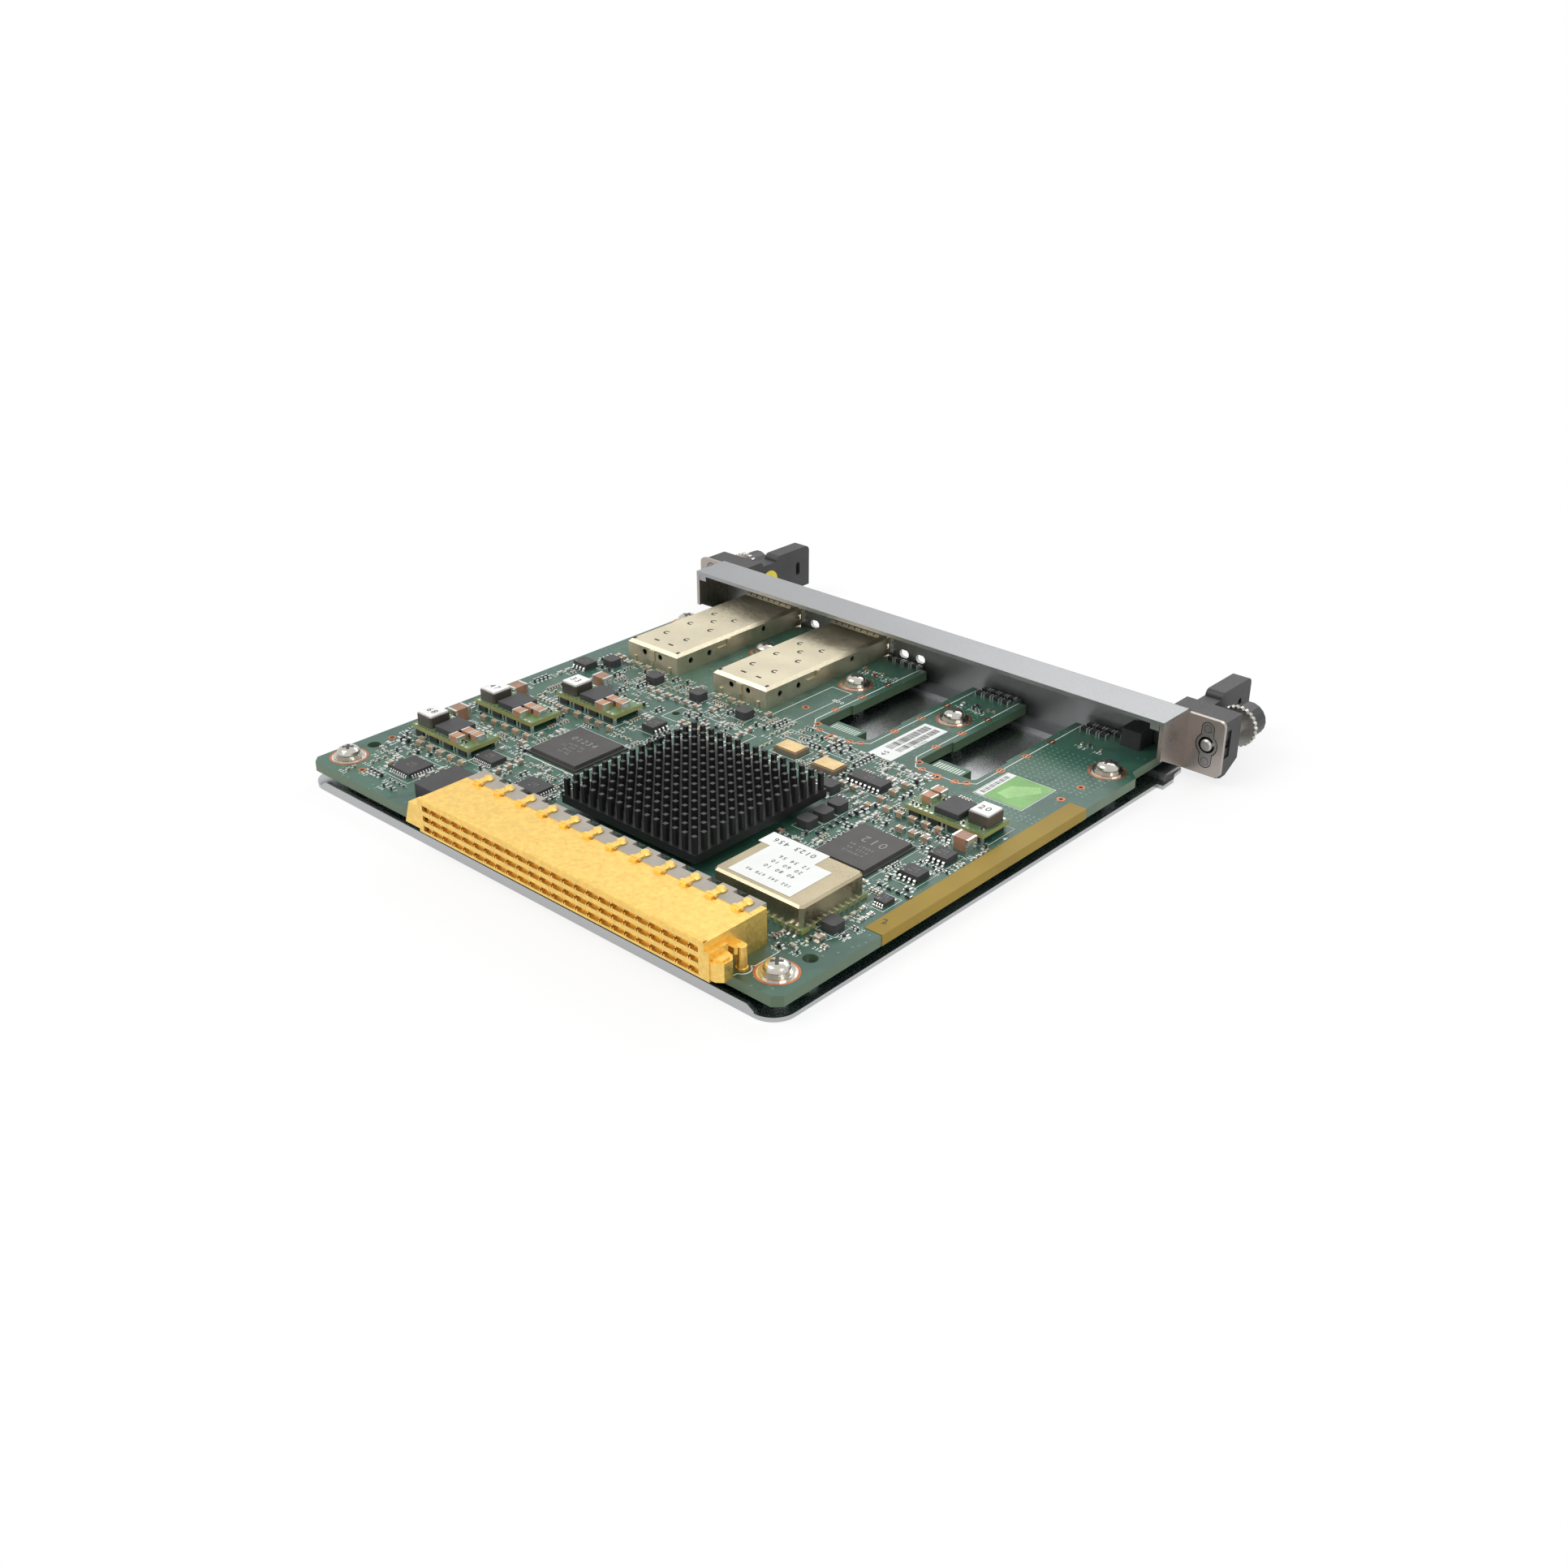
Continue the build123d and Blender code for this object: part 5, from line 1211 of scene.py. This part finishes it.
# header pins, pads, capacitors and small parts on each power board
moduleLayout = {
    "seed": 3,
    "pinColumns": (-9.9, -6.0, -4.8, -0.6, 0.6, 4.8, 6.0, 9.9),
    "pinInset": 0.75,
    "pads": 14,
    "padStart": 1.2,
    "padPitch": 1.47,
    "padInset": 0.45,
    "capWidth": 2.7,
    "capGap": 0.3,
    "tries": 60,
}
moduleRandom = random.Random(moduleLayout["seed"])
headerSpots, padSpots, moduleCaps, moduleParts = [], [], [], []


# one more capacitor beside each of the CAD part's pair, away from the coil, where it fits
def addCapacitors(low, high, away):
    wide = moduleLayout["capWidth"]
    for capLow, capHigh in solidBoxes("power_capacitors"):
        if not (low[0] < capLow[0] < high[0] and low[1] < capLow[1] < high[1]):
            continue
        capX, y = middleOf(capLow, capHigh)
        deep = capHigh[1] - capLow[1]
        x = capX + away * ((capHigh[0] - capLow[0] + wide) / 2 + moduleLayout["capGap"])
        inside = low[0] < x - wide / 2 and x + wide / 2 < high[0]
        if inside and bareAt(x, y, wide / 2, deep / 2, high[2]):
            claim(x, y, wide / 2, deep / 2)
            moduleCaps.append(blockSpot(x, y, high[2], wide, deep, capHigh[2] - capLow[2]))


for number in range(1, 5):
    low, high = nodeBox(f"power_board_{number}")
    middleX, middleY = middleOf(low, high)
    halfY = (high[1] - low[1]) / 2
    for side in (-1, 1):
        pinY = middleY + side * (halfY - moduleLayout["pinInset"])
        headerSpots += [(middleX + x, pinY, boardTop, 0) for x in moduleLayout["pinColumns"]]
        y = middleY + side * (halfY - moduleLayout["padInset"])
        for index in range(moduleLayout["pads"]):
            x = low[0] + moduleLayout["padStart"] + index * moduleLayout["padPitch"]
            if bareAt(x, y, 0.3, 0.3, high[2]):
                padSpots.append((x, y, high[2], 0, 0.8, 0.6, 0.04))
    coilX = middleOf(*nodeBox(f"power_inductor_{number}"))[0]
    addCapacitors(low, high, 1 if coilX < middleX else -1)
    for _ in range(moduleLayout["tries"]):
        x = moduleRandom.uniform(low[0] + 0.9, high[0] - 0.9)
        y = moduleRandom.uniform(low[1] + 1.2, high[1] - 1.2)
        turned = moduleRandom.random() < 0.5
        partX, partY = (0.4, 0.7) if turned else (0.7, 0.4)
        if isFree(x, y, partX + 0.1, partY + 0.1) and bareAt(x, y, partX, partY, high[2]):
            claim(x, y, partX, partY)
            moduleParts.append((x, y, high[2], math.pi / 2 if turned else 0, 1.0, 0.5, 0.45))
headerShape = boxShape("headerPin", (-0.32, -0.42, 0, 0.32, 0.42, 1.41))
stamp("headerPins", headerShape, headerSpots, "leadTin", "screw_steel")
stamp("modulePads", padBox, padSpots, "solderSilver", "circuit_board")
stampBlocks("moduleCaps", "moduleCapEnds", moduleCaps, "ceramicTan")
stamp("moduleParts", bodyShape, moduleParts, "resistorBlack", "ceramic_tan")
stamp("modulePartEnds", endShape, moduleParts, "solderSilver", "screw_steel")
dressBlocks("power_capacitors", "powerCaps", "ceramicTan")
coilBoxes = [nodeBox(f"power_inductor_{number}") for number in range(1, 5)]
coilLabels = [(text, *middleOf(*box), 1.9, 0) for text, box in zip(("68", "47", "33", "20"), coilBoxes)]
writeNumbers("coilNumbers", coilLabels, coilBoxes[0][1][2], "inkBlack")

print("screws")
# pan heads with a cross recess, stamped on the CAD screws' places; the recess is a dark steel cross of
# painted shade on the dome
screwLook = {
    "radius": 2.75,
    "height": 2.1,
    "rim": 0.35,  # share of the height below the dome
    "domePower": 3.2,
    "sides": 40,
    "rings": 9,
    "shank": 1.45,
    "crossReach": 1.3,
    "crossHalf": 0.36,
    "turns": (0.3, 0.9, 0.15, 1.2, 0.55, 0.05, 0.7),
}


def screwParts(look, foot):
    rim, sides, rings = look["rim"], look["sides"], look["rings"]
    levels = [(1.0, 0.0), (1.0, rim)]
    for share in [1 - (ring + 0.5) / rings for ring in range(rings)]:
        levels.append((share, rim + (1 - rim) * math.sqrt(1 - share ** look["domePower"])))
    verts, faces = [], [list(range(sides))[::-1]]
    for share, rise in levels:
        verts += [(x, y, look["height"] * rise) for x, y in circlePoints(share * look["radius"], sides)]
    for level in range(len(levels) - 1):
        faces += bandFaces(level * sides, (level + 1) * sides, sides)
    last = len(verts) - sides
    faces += [[last + side, last + (side + 1) % sides, len(verts)] for side in range(sides)]
    verts.append((0, 0, look["height"]))
    return joined((verts, faces), prismParts(circlePoints(look["shank"], 16), foot, 0.0))


screwFoot = nodeBox("board_screws")[0][2]
washerTop = nodeBox("board_washers")[1][2]
turnedSpots = [(x, y, washerTop, turn) for (x, y), turn in zip(screwSpots, screwLook["turns"])]
screwShape = shapeObject("panScrew", screwParts(screwLook, screwFoot - washerTop))
screws = stamp("panScrews", screwShape, turnedSpots, "screwZinc", "screw_steel")
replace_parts(screws, "board_screws")
arm, wide, top = screwLook["crossReach"], screwLook["crossHalf"], screwLook["height"]
crossCorner = [(wide, wide), (wide, arm), (-wide, arm)]
crossOutline = []
for quarter in range(4):
    crossOutline += crossCorner
    crossCorner = [(-y, x) for x, y in crossCorner]
crossShape = shapeObject("crossRecess", prismParts(crossOutline, top - 0.2, top + 0.015))
stamp("crossRecesses", crossShape, turnedSpots, "recessSteel", "screw_steel")
lockShape = shapeObject("lockWasher", ringParts(2.2, 3.05, 0, 0.32, 32))
lockSpots = [(x, y, washerTop - 0.02, 0) for x, y in screwSpots]
stamp("lockWashers", lockShape, lockSpots, "screwZinc", "screw_steel")

print("oscillator and handles")
# bright castellations down two sides of the oscillator's board, solder joints at its corner
pinLook = {
    "inset": 0.1,
    "right": {"count": 10, "start": 2.6, "pitch": 1.65, "size": (0.5, 0.55, 1.04)},
    "near": {"count": 11, "start": 2.0, "pitch": 1.9, "size": (0.7, 0.5, 1.04)},
}
baseLow, baseHigh = nodeBox("oscillator_base")
sidePins = []
for index in range(pinLook["right"]["count"]):
    y = baseLow[1] + pinLook["right"]["start"] + index * pinLook["right"]["pitch"]
    sidePins.append((baseHigh[0] - pinLook["inset"], y, boardTop, 0, *pinLook["right"]["size"]))
for index in range(pinLook["near"]["count"]):
    x = baseLow[0] + pinLook["near"]["start"] + index * pinLook["near"]["pitch"]
    sidePins.append((x, baseLow[1] + pinLook["inset"], boardTop, 0, *pinLook["near"]["size"]))
stamp("oscillatorPins", padBox, sidePins, "solderSilver", "screw_steel")
wirePath = [(-0.2, 0.9), (0.6, 1.1), (1.0, 0.35), (1.7, 0.08)]
wireShape = shapeObject("solderWire", stripParts(wirePath, 0.3, 0.5))
wireSpots = [(baseHigh[0] - 3.6 + index * 1.5, baseLow[1] - 0.15, boardTop, math.pi) for index in range(3)]
stamp("solderWires", wireShape, wireSpots, "solderSilver", "screw_steel")
# yellow spot on the inner face of the left handle
spotLook = {"x": -70.85, "y": 13.7, "z": 8.6, "radius": 3.3, "film": 0.06}
spotVerts, spotFaces = prismParts(circlePoints(spotLook["radius"], 28), 0, spotLook["film"])
spotVerts = [(spotLook["x"] + z, spotLook["y"] + u, spotLook["z"] + v) for u, v, z in spotVerts]
plainPiece("yellowSpot", (spotVerts, spotFaces), "dotYellow")

print("camera and light")
scene = bpy.context.scene
shot = {"place": (254.17, -337.16, 185.62), "azimuth": 42.31, "elevation": 26.99, "lens": 39.71}
cameraData = bpy.data.cameras.new("camera")
cameraData.lens = shot["lens"]
cameraData.sensor_width = 36
cameraData.clip_start = 0.01
camera = bpy.data.objects.new("camera", cameraData)
scene.collection.objects.link(camera)
camera.location = Vector(shot["place"]) * mm
turn, tilt = math.radians(shot["azimuth"]), math.radians(shot["elevation"])
gaze = Vector((-math.sin(turn) * math.cos(tilt), math.cos(turn) * math.cos(tilt), -math.sin(tilt)))
camera.rotation_euler = gaze.to_track_quat("-Z", "Y").to_euler()
scene.camera = camera
scene.view_settings.view_transform = "Standard"

# a white surround that lights the object less than it shows to the camera
skyLight = 0.62
scene.world = bpy.data.worlds.new("studio")
scene.world.use_nodes = True
skyTree = scene.world.node_tree
sky = skyTree.nodes["Background"]
sky.inputs["Color"].default_value = (1, 1, 1, 1)
ray = addNode(skyTree, "ShaderNodeLightPath").outputs
seen = mathNode(skyTree, "MAXIMUM", ray["Is Camera Ray"], ray["Is Transmission Ray"])
seen = mathNode(skyTree, "MAXIMUM", seen, ray["Is Glossy Ray"])
skyTree.links.new(remap(skyTree, seen, 0, 1, skyLight, 1.0), sky.inputs["Strength"])

# lamps and floor are placed in metres
lampAim = Vector((0, -0.07, 0))
lampLook = {
    "keyLamp": {"place": (-0.35, -0.55, 0.85), "size": (0.6, 0.5), "power": 5.2, "color": (1, 0.985, 0.96)},
    "fillLamp": {"place": (0.9, -0.25, 0.5), "size": (0.5, 0.5), "power": 2.2, "color": (0.95, 0.98, 1)},
    "backLamp": {"place": (-0.1, 0.75, 0.7), "size": (0.9, 0.3), "power": 3.0, "color": (1, 1, 1)},
}
for name, look in lampLook.items():
    lampData = bpy.data.lights.new(name, "AREA")
    lampData.shape = "RECTANGLE"
    lampData.size, lampData.size_y = look["size"]
    lampData.energy = look["power"]
    lampData.color = look["color"]
    lamp = bpy.data.objects.new(name, lampData)
    scene.collection.objects.link(lamp)
    lamp.location = look["place"]
    lamp.rotation_euler = (lampAim - Vector(look["place"])).to_track_quat("-Z", "Y").to_euler()

floorLook = {"grey": 0.86, "half": 3, "drop": 0.0002, "shadow": (0.12, 0.34)}
half = floorLook["half"]
floorMesh = bpy.data.meshes.new("floor")
floorCorners = rectPath(-half, -half, half, half)[:4]
floorMesh.from_pydata([(x, y, 0) for x, y in floorCorners], [], [(0, 1, 2, 3)])
floor = bpy.data.objects.new("floor", floorMesh)
scene.collection.objects.link(floor)
floor.location.z = -floorLook["drop"]
floorMaterial, floorTree, floorShader = startMaterial("floorPale", (floorLook["grey"],) * 3, 0.0, 0.7)
ray = addNode(floorTree, "ShaderNodeLightPath").outputs
glow = addNode(floorTree, "ShaderNodeEmission", {"Strength": 1.0}).outputs[0]
reach = addNode(floorTree, "ShaderNodeVectorMath", {0: objectPoint(floorTree)}, operation="LENGTH")
# white away from the object, with a faint shadow near it
paleness = remap(floorTree, reach.outputs["Value"], *floorLook["shadow"], 0.8, 1.0)
direct = mathNode(floorTree, "MAXIMUM", ray["Is Camera Ray"], ray["Is Glossy Ray"])
share = mathNode(floorTree, "MULTIPLY", direct, paleness)
blend = addNode(floorTree, "ShaderNodeMixShader", {0: share, 1: floorShader.outputs[0], 2: glow})
floorTree.links.new(blend.outputs[0], floorTree.nodes["Material Output"].inputs["Surface"])
floorMesh.materials.append(floorMaterial)
